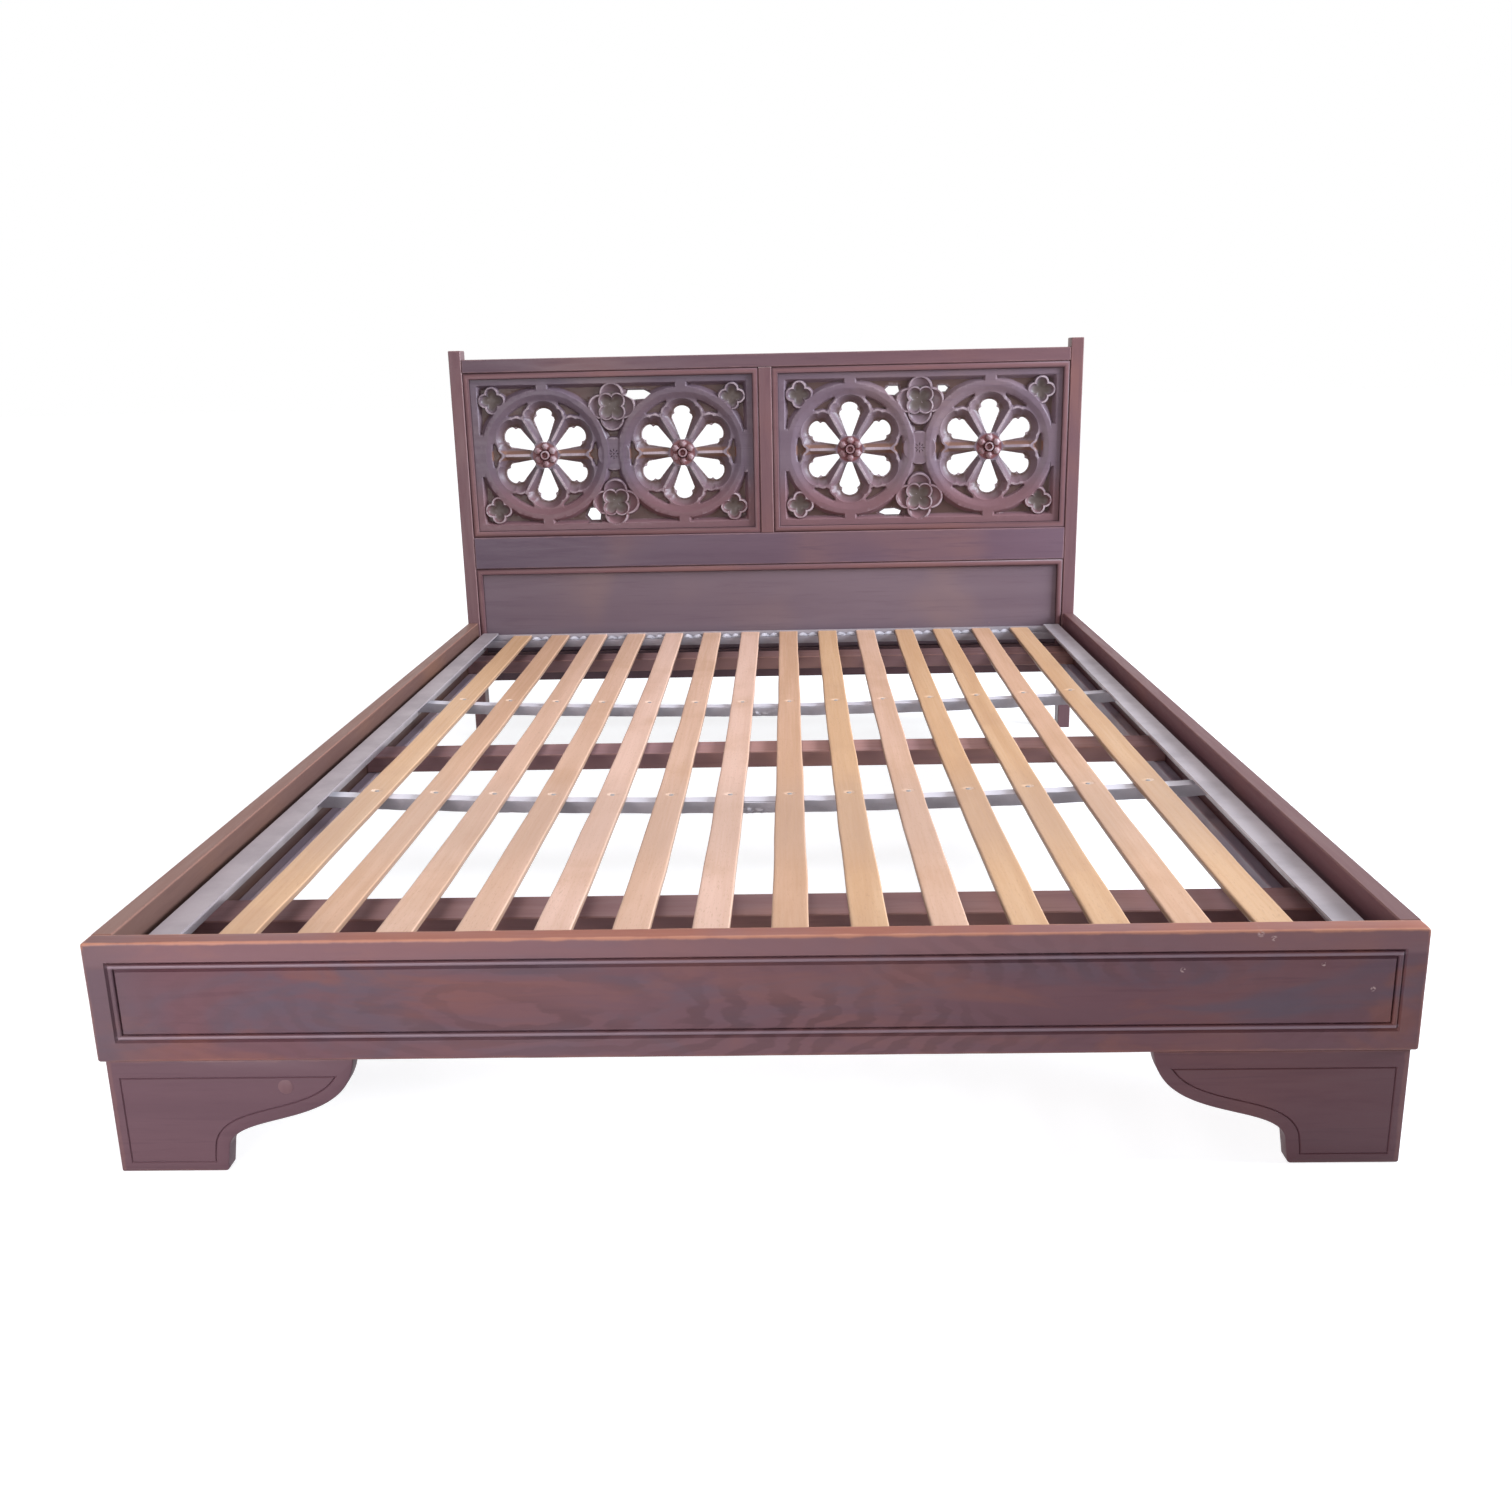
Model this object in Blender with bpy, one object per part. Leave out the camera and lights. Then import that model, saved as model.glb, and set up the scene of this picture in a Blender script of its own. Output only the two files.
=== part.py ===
"""Low double bed: a headboard with carved and pierced Gothic wheel panels, rails on bracket feet,
and a loose slatted base in a steel frame.

Metres, +Z up. X runs across the bed, +Y towards the headboard. The origin is on the floor, under
the middle of the bed.
"""
import math

import bmesh
import bpy
import numpy as np
from mathutils import Vector
from mathutils.geometry import delaunay_2d_cdt

# Bed frame
BED_WIDTH = 1.430
BED_LENGTH = 1.975
FOOT_HEIGHT = 0.137
RAIL_HEIGHT = 0.140
SIDE_RAIL_THICK = 0.024
FOOT_RAIL_THICK = 0.025
ARRIS = 0.0015
GAP = 0.0003

# Bead run round the face of the foot rail
BEAD_MARGIN = 0.0226
BEAD_WIDTH = 0.0060
GROOVE_WIDTH = 0.0026
GROOVE_DEPTH = 0.0022

# Headboard frame
POST_HEIGHT = 0.899
POST_WIDTH = 0.028
POST_DEPTH = 0.044
TOP_RAIL_DROP = 0.020
TOP_RAIL_HEIGHT = 0.0295
BAY_HEIGHT = 0.3715
MIDDLE_RAIL_HEIGHT = 0.0730
BOTTOM_RAIL_HEIGHT = 0.068
FRAME_DEPTH = 0.036
MUNTIN_WIDTH = 0.0295

# Panels and the mouldings planted in front of them
PANEL_SETBACK = 0.008
TRACERY_THICK = 0.022
LOWER_PANEL_THICK = 0.012
MOULDING_WIDTH = 0.0148
QUIRK_WIDTH = 0.0018
QUIRK_DEPTH = 0.0030

# Carving of the tracery panels: levels are measured from the face of the board
BORDER_WIDTH = 0.0127
PATTERN_WIDTH = 0.61525
PATTERN_HEIGHT = 0.3165
GROUND_DEPTH = 0.011
BORDER_RUN = 0.0085
RING_RUN = 0.0095
TAB_RUN = 0.0075
WALL_RUN = 0.0035
RIM_THICK = 0.004
WHEEL_SPACING = 0.3176
WHEEL_RADIUS = 0.1462
RING_WIDTH = 0.0205
WEB_DEPTH = 0.003
PETALS = 6
PETAL_CENTRE = 0.080
HEAD_CENTRE = 0.100
HEAD_HALF_WIDTH = 0.0335
HEAD_HALF_HEIGHT = 0.0215
LOBE_CENTRE = (0.0885, 0.0275)
LOBE_RADIUS = 0.016
SHOULDER_DISTANCE = 0.0438
SHOULDER_FACING = math.radians(75)
SPOKE_HALF_WIDTH = 0.0025
HUB_RADIUS = 0.0305
HUB_LOBE = 0.0112
HUB_RISE = 0.003
HUB_RING = 0.0105
HUB_EYE = 0.007
HOLE_CENTRE = 0.0815
HOLE_RADIUS = 0.024
HOLE_TAPER = math.radians(20.5)
HOLE_TAIL = 0.0290
SPANDREL_CENTRE = 0.111
SPANDREL_FILLET = 0.0035
SPANDREL_REACH = 0.030
SPANDREL_TAIL = 0.010
SPANDREL_DEPTH = 0.010
TAB_WIDTH = 0.023
SIDE_TAB_HEIGHT = 0.092
TAB_OVERLAP = 0.005
BOSS_RADIUS = 0.036
ROSETTE_RISES = (-0.110, 0.106)
ROSETTE_REACH = 0.053
ROSETTE_LOBE = 0.0265
ROSETTE_BAND = 0.0045
ROSETTE_DEPTH = 0.006
CUP_REACH = 0.035
CUP_LOBE = 0.0175
CUP_BAND = 0.0030
CORNER_INSET = 0.034
CORNER_REACH = 0.030
CORNER_LOBE = 0.016
CORNER_BAND = 0.0040
CUP_DEPTH = 0.011
CUP_FLOOR = 0.7
SLOT_OFFSET = (0.055, 0.131)
SLOT_CORNERS = ((0.030, 0.007), (-0.020, 0.007), (-0.003, -0.012))
SLOT_RUN = 0.7
CIRCLE_POINTS = 30
FOIL_POINTS = 16
PETAL_ANGLES = (0, 22, 40, 54.5, 69, 87.5, 115, 146, 166)

# Bracket feet
BRACKET_WIDTH = 0.274
BRACKET_THICK = 0.020
BRACKET_SIDE_INSET = 0.010
BRACKET_FRONT_INSET = 0.0035
TOE_WIDTH = 0.118
ANKLE_WIDTH = 0.130
ANKLE_HEIGHT = 0.034
OGEE_TOP_PULL = (0.13, 0.75)
OGEE_ANKLE_PULL = (0.125, 0.355)
OGEE_POINTS = 12
FOOT_BLOCK_WIDTH = 0.048
CORNER_BLOCK_WIDTH = 0.040
CORNER_BLOCK_HEIGHT = 0.060
CORNER_BLOCK_RISE = 0.004

# Ledgers and bearers
LEDGER_RISE = 0.0239
LEDGER_WIDTH = 0.018
LEDGER_HEIGHT = 0.024
BEARER_WIDTH = 0.072
BEARER_THICK = 0.028
FOOT_BEARER_SETBACK = 0.255
MIDDLE_BEARER_OFFSET = 0.0305
HEAD_BEARER_SETBACK = 0.108

# Bed bolts
BOLT_RADIUS = 0.004
BOLT_LENGTH = 0.110
BOLT_HEAD_RADIUS = 0.009
BOLT_HEAD_HEIGHT = 0.005
BOLT_HEAD_CROWN = 0.0018
COUNTERBORE_DEPTH = 0.008
BORE_CLEARANCE = 0.0005
BORE_EXTRA = 0.006
NUT_RADIUS = 0.007
NUT_SETBACK = 0.060
NUT_COVER = 0.003
ROUND_SIDES = 16

# Slatted base
BASE_SIDE_GAP = 0.013
BASE_FOOT_GAP = 0.008
BASE_HEAD_GAP = 0.008
ANGLE_FLANGE = 0.035
ANGLE_LEG = 0.040
STEEL_THICK = 0.0035
CHANNEL_WIDTH = 0.028
CHANNEL_HEIGHT = 0.026
CHANNEL_LIP_RISE = 0.0025
BAR_FLANGE = 0.025
BAR_LEG = 0.018
BAR_THICK = 0.003
SAG = 0.018
SLAT_COUNT = 14
SLAT_SIDE_GAP = 0.0365
SLAT_WIDTH = 0.043
SLAT_THICK = 0.008
SLAT_EDGE = 0.0018
SLAT_STATIONS = 6
PLATE_LENGTH = 0.080
PLATE_HEIGHT = 0.016

# Colour, roughness and metallic value of each material
FINISHES = {
    "walnut": ((0.105, 0.045, 0.036), 0.42, 0.0),
    "carved_walnut": ((0.095, 0.050, 0.046), 0.45, 0.0),
    "panel_walnut": ((0.120, 0.075, 0.068), 0.48, 0.0),
    "inner_wood": ((0.130, 0.070, 0.048), 0.60, 0.0),
    "beech": ((0.560, 0.340, 0.190), 0.45, 0.0),
    "steel": ((0.330, 0.310, 0.330), 0.50, 0.7),
    "bolt_steel": ((0.450, 0.440, 0.430), 0.35, 0.9),
}

# Planes that the pieces share
FOOT_FACE = -BED_LENGTH / 2
HEAD_FACE = BED_LENGTH / 2 - POST_DEPTH
BACK_FACE = BED_LENGTH / 2
RAIL_TOP = FOOT_HEIGHT + RAIL_HEIGHT
RAIL_INNER_X = BED_WIDTH / 2 - SIDE_RAIL_THICK
FOOT_INNER_Y = FOOT_FACE + FOOT_RAIL_THICK
POST_INNER_X = BED_WIDTH / 2 - POST_WIDTH
TOP_RAIL_TOP = POST_HEIGHT - TOP_RAIL_DROP
BAY_TOP = TOP_RAIL_TOP - TOP_RAIL_HEIGHT
BAY_BOTTOM = BAY_TOP - BAY_HEIGHT
LOWER_BAY_TOP = BAY_BOTTOM - MIDDLE_RAIL_HEIGHT
LOWER_BAY_BOTTOM = FOOT_HEIGHT + BOTTOM_RAIL_HEIGHT
BAY_WIDTH = POST_INNER_X - MUNTIN_WIDTH / 2
BAY_CENTRE_X = (POST_INNER_X + MUNTIN_WIDTH / 2) / 2
LEDGER_BOTTOM = FOOT_HEIGHT + LEDGER_RISE
BEARER_BOTTOM = LEDGER_BOTTOM + LEDGER_HEIGHT + GAP
BASE_BOTTOM = BEARER_BOTTOM + BEARER_THICK + GAP
BASE_TOP = BASE_BOTTOM + ANGLE_LEG
BASE_WIDTH = 2 * (RAIL_INNER_X - BASE_SIDE_GAP)
BASE_HEAD_Y = HEAD_FACE - BASE_HEAD_GAP
BASE_FOOT_Y = FOOT_INNER_Y + BASE_FOOT_GAP
BASE_LENGTH = BASE_HEAD_Y - BASE_FOOT_Y
BASE_MIDDLE_Y = (BASE_HEAD_Y + BASE_FOOT_Y) / 2
BAR_HALF_SPAN = BASE_WIDTH / 2 - STEEL_THICK - GAP
LIP_TOP = BASE_TOP - STEEL_THICK - GAP
SLAT_TOP = LIP_TOP - CHANNEL_LIP_RISE
SLAT_BOTTOM = SLAT_TOP - SLAT_THICK
BAR_TOP = SLAT_BOTTOM - GAP
BOLT_Z = FOOT_HEIGHT + RAIL_HEIGHT / 2
BOLT_X = BED_WIDTH / 2 - SIDE_RAIL_THICK / 2
BOLT_SEAT_Y = BACK_FACE - COUNTERBORE_DEPTH
BOLT_TIP_Y = BOLT_SEAT_Y - BOLT_LENGTH
NUT_Y = HEAD_FACE - NUT_SETBACK
SIDES = ((-1, "left"), (1, "right"))


def clear_scene():
    for old in list(bpy.data.objects):
        bpy.data.objects.remove(old, do_unlink=True)


def make_material(name):
    colour, roughness, metallic = FINISHES[name]
    made = bpy.data.materials.new(name)
    made.use_nodes = True
    shader = made.node_tree.nodes["Principled BSDF"]
    shader.inputs["Base Color"].default_value = (*colour, 1.0)
    shader.inputs["Roughness"].default_value = roughness
    shader.inputs["Metallic"].default_value = metallic
    return made


def make_root(name, location):
    root = bpy.data.objects.new(name, None)
    root.location = location
    bpy.context.scene.collection.objects.link(root)
    return root


def add_object(name, solid, origin, finish, root):
    """Turns a bmesh in world places into an object whose origin is at the given point."""
    bmesh.ops.remove_doubles(solid, verts=solid.verts, dist=1e-6)
    bmesh.ops.recalc_face_normals(solid, faces=solid.faces)
    bmesh.ops.translate(solid, verts=solid.verts, vec=-Vector(origin))
    mesh = bpy.data.meshes.new(name)
    solid.to_mesh(mesh)
    solid.free()
    return add_mesh_object(name, mesh, origin, finish, root)


def add_mesh_object(name, mesh, origin, finish, root):
    made = bpy.data.objects.new(name, mesh)
    if not mesh.materials:
        mesh.materials.append(bpy.data.materials[finish])
    bpy.context.scene.collection.objects.link(made)
    made.parent = root
    made.location = Vector(origin) - root.location
    return made


def shade_round(made, angle=math.radians(35)):
    made.data.shade_smooth()
    made.data.set_sharp_from_angle(angle=angle)


def box_solid(low, high, arris):
    """A board between two corners, with a small chamfer along every edge."""
    solid = bmesh.new()
    bmesh.ops.create_cube(solid, size=1.0)
    for vert in solid.verts:
        for axis in range(3):
            vert.co[axis] = high[axis] if vert.co[axis] > 0 else low[axis]
    if arris > 0:
        bmesh.ops.bevel(solid, geom=solid.edges[:], offset=arris, segments=1, affect='EDGES')
    return solid


def board(name, low, high, finish, root, arris=ARRIS):
    middle = [(a + b) / 2 for a, b in zip(low, high)]
    return add_object(name, box_solid(low, high, arris), middle, finish, root)


def loft(loops, closed_ends=True, ring=False):
    """A solid through loops of equal point counts; a ring joins its last loop to its first."""
    solid = bmesh.new()
    rows = [[solid.verts.new(point) for point in loop] for loop in loops]
    count = len(rows[0])
    pairs = list(zip(rows, rows[1:]))
    if ring:
        pairs.append((rows[-1], rows[0]))
    for first, second in pairs:
        for i in range(count):
            j = (i + 1) % count
            solid.faces.new((first[i], first[j], second[j], second[i]))
    if closed_ends and not ring:
        solid.faces.new(rows[0])
        solid.faces.new(rows[-1])
    return solid


def prism(outline, place):
    """A solid between two copies of an outline; place(point, end) puts a point in the world."""
    return loft([[place(point, 0) for point in outline], [place(point, 1) for point in outline]])


def turned(stations, axis, centre):
    """A round solid: each station is a radius and a place along the axis X or Y through the centre."""
    loops = []
    for radius, along in stations:
        loop = []
        for i in range(ROUND_SIDES):
            turn = 2 * math.pi * i / ROUND_SIDES
            across = radius * math.cos(turn)
            up = radius * math.sin(turn)
            if axis == "Y":
                loop.append((centre[0] + across, along, centre[2] + up))
            else:
                loop.append((along, centre[1] + across, centre[2] + up))
        loops.append(loop)
    return loft(loops)


def cut(made, cutters):
    """Takes cutter solids out of an object and keeps the result as its mesh."""
    scene = bpy.context.scene
    tools = []
    for solid in cutters:
        bmesh.ops.recalc_face_normals(solid, faces=solid.faces)
        mesh = bpy.data.meshes.new(made.name + "_cutter")
        solid.to_mesh(mesh)
        solid.free()
        tool = bpy.data.objects.new(made.name + "_cutter", mesh)
        scene.collection.objects.link(tool)
        step = made.modifiers.new("cut", 'BOOLEAN')
        step.operation = 'DIFFERENCE'
        step.object = tool
        tools.append(tool)
    bpy.context.view_layer.update()
    graph = bpy.context.evaluated_depsgraph_get()
    mesh = bpy.data.meshes.new_from_object(made.evaluated_get(graph))
    made.modifiers.clear()
    made.data = mesh
    for tool in tools:
        bpy.data.objects.remove(tool, do_unlink=True)


def mitred_strip(path, section, face_y, ring):
    """A moulding along a path in the XZ plane, mitred at its corners.

    Each section point is an inset from the path, to its left, and a depth behind face_y.
    """
    count = len(path)
    loops = []
    for i, point in enumerate(path):
        here = Vector(point)
        normals = []
        if ring or i > 0:
            run = (here - Vector(path[i - 1])).normalized()
            normals.append(Vector((-run.y, run.x)))
        if ring or i < count - 1:
            run = (Vector(path[(i + 1) % count]) - here).normalized()
            normals.append(Vector((-run.y, run.x)))
        first, last = normals[0], normals[-1]
        mitre = (first + last) / (1 + first.dot(last))
        loops.append([(here.x + inset * mitre.x, face_y + depth, here.y + inset * mitre.y)
                      for inset, depth in section])
    return loft(loops, ring=ring)


def moulding_section():
    """Round bead between two quirks, from the frame's edge in to the panel."""
    back = PANEL_SETBACK - GAP
    bead_end = MOULDING_WIDTH - 2 * QUIRK_WIDTH
    shoulder = QUIRK_DEPTH / 3
    crown = (bead_end - QUIRK_WIDTH) / 4
    return [
        (0.0, back),
        (0.0, QUIRK_DEPTH),
        (QUIRK_WIDTH, shoulder),
        (QUIRK_WIDTH + crown, 0.0),
        (bead_end - crown, 0.0),
        (bead_end, shoulder),
        (bead_end + QUIRK_WIDTH, QUIRK_DEPTH),
        (MOULDING_WIDTH, QUIRK_DEPTH),
        (MOULDING_WIDTH, back),
    ]


# Outlines of the carving, each as the radius at an angle round a centre


def round_outline(radius):
    return lambda angle: np.full_like(angle, radius)


def box_outline(half_width, half_height):
    def radius(angle):
        wide = half_width / np.maximum(np.abs(np.cos(angle)), 1e-9)
        high = half_height / np.maximum(np.abs(np.sin(angle)), 1e-9)
        return np.minimum(wide, high)
    return radius


def foil_outline(lobes, reach, lobe_radius, turn):
    """A flower of round lobes that meet in cusps; the first lobe points along the turn."""
    centre = reach - lobe_radius
    step = 2 * math.pi / lobes

    def radius(angle):
        off = (angle - turn + step / 2) % step - step / 2
        side = np.maximum(lobe_radius ** 2 - (centre * np.sin(off)) ** 2, 0.0)
        return centre * np.cos(off) + np.sqrt(side)
    return radius


def flat_sided_outline(sides):
    """A convex shape from its sides, each the direction it faces and its distance."""
    def radius(angle):
        best = np.full_like(angle, 1.0)
        for facing, distance in sides:
            slant = np.cos(angle - facing)
            reach = np.where(slant > 1e-6, distance / np.maximum(slant, 1e-6), 1.0)
            best = np.minimum(best, reach)
        return best
    return radius


def corner_outline(corners):
    """A convex shape from its corners, given in either direction round the centre."""
    sides = []
    for (x0, z0), (x1, z1) in zip(corners, corners[1:] + corners[:1]):
        facing = math.atan2(x0 - x1, z1 - z0)
        distance = x0 * math.cos(facing) + z0 * math.sin(facing)
        sides.append((facing, distance) if distance > 0 else (facing + math.pi, -distance))
    return flat_sided_outline(sides)


def ellipse_crossing(angle, centre, tilt, half_along, half_across, far):
    """Distance along each direction to the far or near side of an ellipse off the centre."""
    along_x = math.cos(tilt)
    along_z = math.sin(tilt)
    ray_a = (np.cos(angle) * along_x + np.sin(angle) * along_z) / half_along
    ray_b = (np.sin(angle) * along_x - np.cos(angle) * along_z) / half_across
    off_a = (centre[0] * along_x + centre[1] * along_z) / half_along
    off_b = (centre[1] * along_x - centre[0] * along_z) / half_across
    length = ray_a ** 2 + ray_b ** 2
    middle = (ray_a * off_a + ray_b * off_b) / length
    square = middle ** 2 - (off_a ** 2 + off_b ** 2 - 1) / length
    half = np.sqrt(np.maximum(square, 0.0))
    reach = middle + half if far else middle - half
    miss = 0.0 if far else 1.0
    return np.where((square > 0) & (reach > 0), reach, miss)


def petal_mouth(angle):
    """Trefoil-headed petal between two spokes, seen from its centre with the rim along angle 0."""
    half_step = math.pi / PETALS
    spoke = PETAL_CENTRE * math.sin(half_step) - SPOKE_HALF_WIDTH
    tail = flat_sided_outline([
        (half_step + math.pi / 2, spoke),
        (-half_step - math.pi / 2, spoke),
        (SHOULDER_FACING, SHOULDER_DISTANCE),
        (-SHOULDER_FACING, SHOULDER_DISTANCE),
        (0.0, LOBE_CENTRE[0] - PETAL_CENTRE),
        (math.pi, PETAL_CENTRE - HUB_RADIUS),
    ])
    centre = (HEAD_CENTRE - PETAL_CENTRE, 0.0)
    head = ellipse_crossing(angle, centre, 0.0, HEAD_HALF_HEIGHT, HEAD_HALF_WIDTH, True)
    radius = np.maximum(tail(angle), head)
    for side in (-1, 1):
        lobe = (LOBE_CENTRE[0] - PETAL_CENTRE, side * LOBE_CENTRE[1])
        radius = np.maximum(radius, ellipse_crossing(angle, lobe, 0.0, LOBE_RADIUS, LOBE_RADIUS, True))
    return radius


def petal_hole(angle):
    """Teardrop that the petal narrows to at the back of the board."""
    rise = HOLE_CENTRE - PETAL_CENTRE
    side = HOLE_RADIUS - rise * math.sin(HOLE_TAPER)
    tail = flat_sided_outline([
        (HOLE_TAPER + math.pi / 2, side),
        (-HOLE_TAPER - math.pi / 2, side),
        (0.0, rise - HOLE_RADIUS * math.sin(HOLE_TAPER)),
        (math.pi, PETAL_CENTRE - HOLE_TAIL),
    ])
    head = ellipse_crossing(angle, (rise, 0.0), 0.0, HOLE_RADIUS, HOLE_RADIUS, True)
    return np.maximum(tail(angle), head)


def spandrel_outline(inset):
    """Three-sided sinking between the ring and two petal heads, with the rim along angle 0."""
    half_step = math.pi / PETALS
    ring_inner = WHEEL_RADIUS - RING_WIDTH - SPANDREL_FILLET / 2 - inset
    head = polar((-SPANDREL_CENTRE, 0.0), HEAD_CENTRE, half_step)
    lobe = polar((-SPANDREL_CENTRE, 0.0), math.hypot(*LOBE_CENTRE),
                 half_step - math.atan2(LOBE_CENTRE[1], LOBE_CENTRE[0]))
    half_along = HEAD_HALF_HEIGHT + SPANDREL_FILLET + inset
    half_across = HEAD_HALF_WIDTH + SPANDREL_FILLET + inset
    lobe_half = LOBE_RADIUS + SPANDREL_FILLET + inset

    def radius(angle):
        best = ellipse_crossing(angle, (-SPANDREL_CENTRE, 0.0), 0.0, ring_inner, ring_inner, True)
        for side in (-1, 1):
            centre = (head[0], side * head[1])
            near = ellipse_crossing(angle, centre, side * half_step, half_along, half_across, False)
            best = np.minimum(best, near)
            centre = (lobe[0], side * lobe[1])
            near = ellipse_crossing(angle, centre, 0.0, lobe_half, lobe_half, False)
            best = np.minimum(best, near)
        inward = np.maximum(-np.cos(angle), 0.0)
        reach = SPANDREL_REACH + (SPANDREL_TAIL - SPANDREL_REACH) * inward - inset
        return np.minimum(best, reach)
    return radius


class Carving:
    """A carved board seen from the front: its outlines in plan, and the height of each point.

    Heights count forward from the face of the board. Every outline is a radius at an angle round
    its own centre, so one rule serves circles, foils, petals and boxes.
    """

    def __init__(self, width, height, thick):
        self.half = (width / 2, height / 2)
        self.thick = thick
        self.loops = []
        self.steps = []
        self.holes = []

    def draw(self, centre, outline, angles, turn):
        radius = outline(angles - turn)
        loop = np.stack([centre[0] + radius * np.cos(angles), centre[1] + radius * np.sin(angles)], 1)
        self.loops.append(loop)
        return len(self.loops) - 1

    def step(self, kind, centre, edge, foot, angles, top, bottom, turn=0.0, hole=False):
        """Adds a boss, which only raises, or a sinking, which only lowers.

        The edge outline lies at the top level and the foot outline at the bottom level.
        """
        angles = np.asarray(angles, dtype=float) + turn
        self.draw(centre, edge, angles, turn)
        last = self.draw(centre, foot, angles, turn)
        if hole:
            self.holes.append(last)
        self.steps.append((kind, centre, edge, foot, top, bottom, turn))

    def heights(self, points):
        level = np.zeros(len(points))
        for kind, centre, edge, foot, top, bottom, turn in self.steps:
            across = points[:, 0] - centre[0]
            up = points[:, 1] - centre[1]
            distance = np.hypot(across, up)
            angle = np.arctan2(up, across) - turn
            start = edge(angle)
            end = foot(angle)
            share = np.clip((distance - start) / (end - start), 0.0, 1.0)
            slope = top + share * (bottom - top)
            if kind == "boss":
                level = np.where(distance < end, np.maximum(level, slope), level)
            else:
                level = np.where(distance < start, np.minimum(level, slope), level)
        return level

    def solid(self, fit):
        """Meshes the face along all its outlines, fits the plan to size and closes a flat back."""
        corners = [(-1, -1), (1, -1), (1, 1), (-1, 1)]
        outer = np.array([(a * self.half[0], b * self.half[1]) for a, b in corners])
        points, edges, faces = [], [], []
        for index, loop in enumerate(self.loops + [outer]):
            start = len(points)
            count = len(loop)
            points += [Vector(point * 1000.0) for point in loop]
            edges += [(start + i, start + (i + 1) % count) for i in range(count)]
            if index in self.holes:
                faces.append(list(range(start, start + count)))
        plan, _, triangles, _, _, inside = delaunay_2d_cdt(points, edges, faces, 0, 0.05)
        plan = np.array([tuple(point) for point in plan]) / 1000.0
        kept = [tri for tri, within in zip(triangles, inside) if not within]
        level = self.heights(plan)
        rim = {}
        for tri in kept:
            for i in range(3):
                rim[(tri[i], tri[(i + 1) % 3])] = True
        rim = [pair for pair in rim if (pair[1], pair[0]) not in rim]
        rim_ids = sorted({i for pair in rim for i in pair})
        place = {i: n for n, i in enumerate(rim_ids)}
        back_faces = self.back_triangles(plan, rim, rim_ids, place)

        mesh = bmesh.new()
        front = {}
        for i in sorted({i for tri in kept for i in tri}):
            front[i] = mesh.verts.new((fit * plan[i][0], -level[i], fit * plan[i][1]))
        back = [mesh.verts.new((fit * plan[i][0], self.thick, fit * plan[i][1])) for i in rim_ids]
        for tri in kept:
            mesh.faces.new([front[i] for i in tri])
        for tri in back_faces:
            mesh.faces.new([back[i] for i in reversed(tri)])
        for first, second in rim:
            mesh.faces.new((front[second], front[first], back[place[first]], back[place[second]]))
        return mesh

    def back_triangles(self, plan, rim, rim_ids, place):
        """Triangles of the flat back, which has only the rims of the holes and the board's edge."""
        points = [Vector(plan[i] * 1000.0) for i in rim_ids]
        edges = [(place[first], place[second]) for first, second in rim]
        _, _, triangles, origins, _, _ = delaunay_2d_cdt(points, edges, [], 0, 1e-4)
        solid_side = set()
        for first, second in rim:
            solid_side.add((place[first], place[second]))
        names = {n: origin[0] for n, origin in enumerate(origins)}
        named = [[names[i] for i in tri] for tri in triangles]
        return keep_side(named, solid_side)


def keep_side(triangles, solid_side):
    """Keeps the triangles on the solid side of a rim, spreading from those that touch it."""
    owner = {}
    for n, tri in enumerate(triangles):
        for i in range(3):
            owner[(tri[i], tri[(i + 1) % 3])] = n
    walls = solid_side | {(b, a) for a, b in solid_side}
    kept = {owner[pair] for pair in solid_side if pair in owner}
    todo = list(kept)
    while todo:
        tri = triangles[todo.pop()]
        for i in range(3):
            pair = (tri[i], tri[(i + 1) % 3])
            across = owner.get((pair[1], pair[0]))
            if pair not in walls and across is not None and across not in kept:
                kept.add(across)
                todo.append(across)
    return [triangles[n] for n in sorted(kept)]


def spread(count):
    return np.arange(count) * 2 * math.pi / count


def box_corners(half_width, half_height):
    corner = math.atan2(half_height, half_width)
    return [corner, math.pi - corner, math.pi + corner, 2 * math.pi - corner]


def polar(centre, radius, angle):
    return (centre[0] + radius * math.cos(angle), centre[1] + radius * math.sin(angle))


def petal_angles():
    upper = [math.radians(a) for a in PETAL_ANGLES]
    lower = [-a for a in reversed(upper[1:])]
    return upper + [math.pi] + [a + 2 * math.pi for a in lower]


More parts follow.
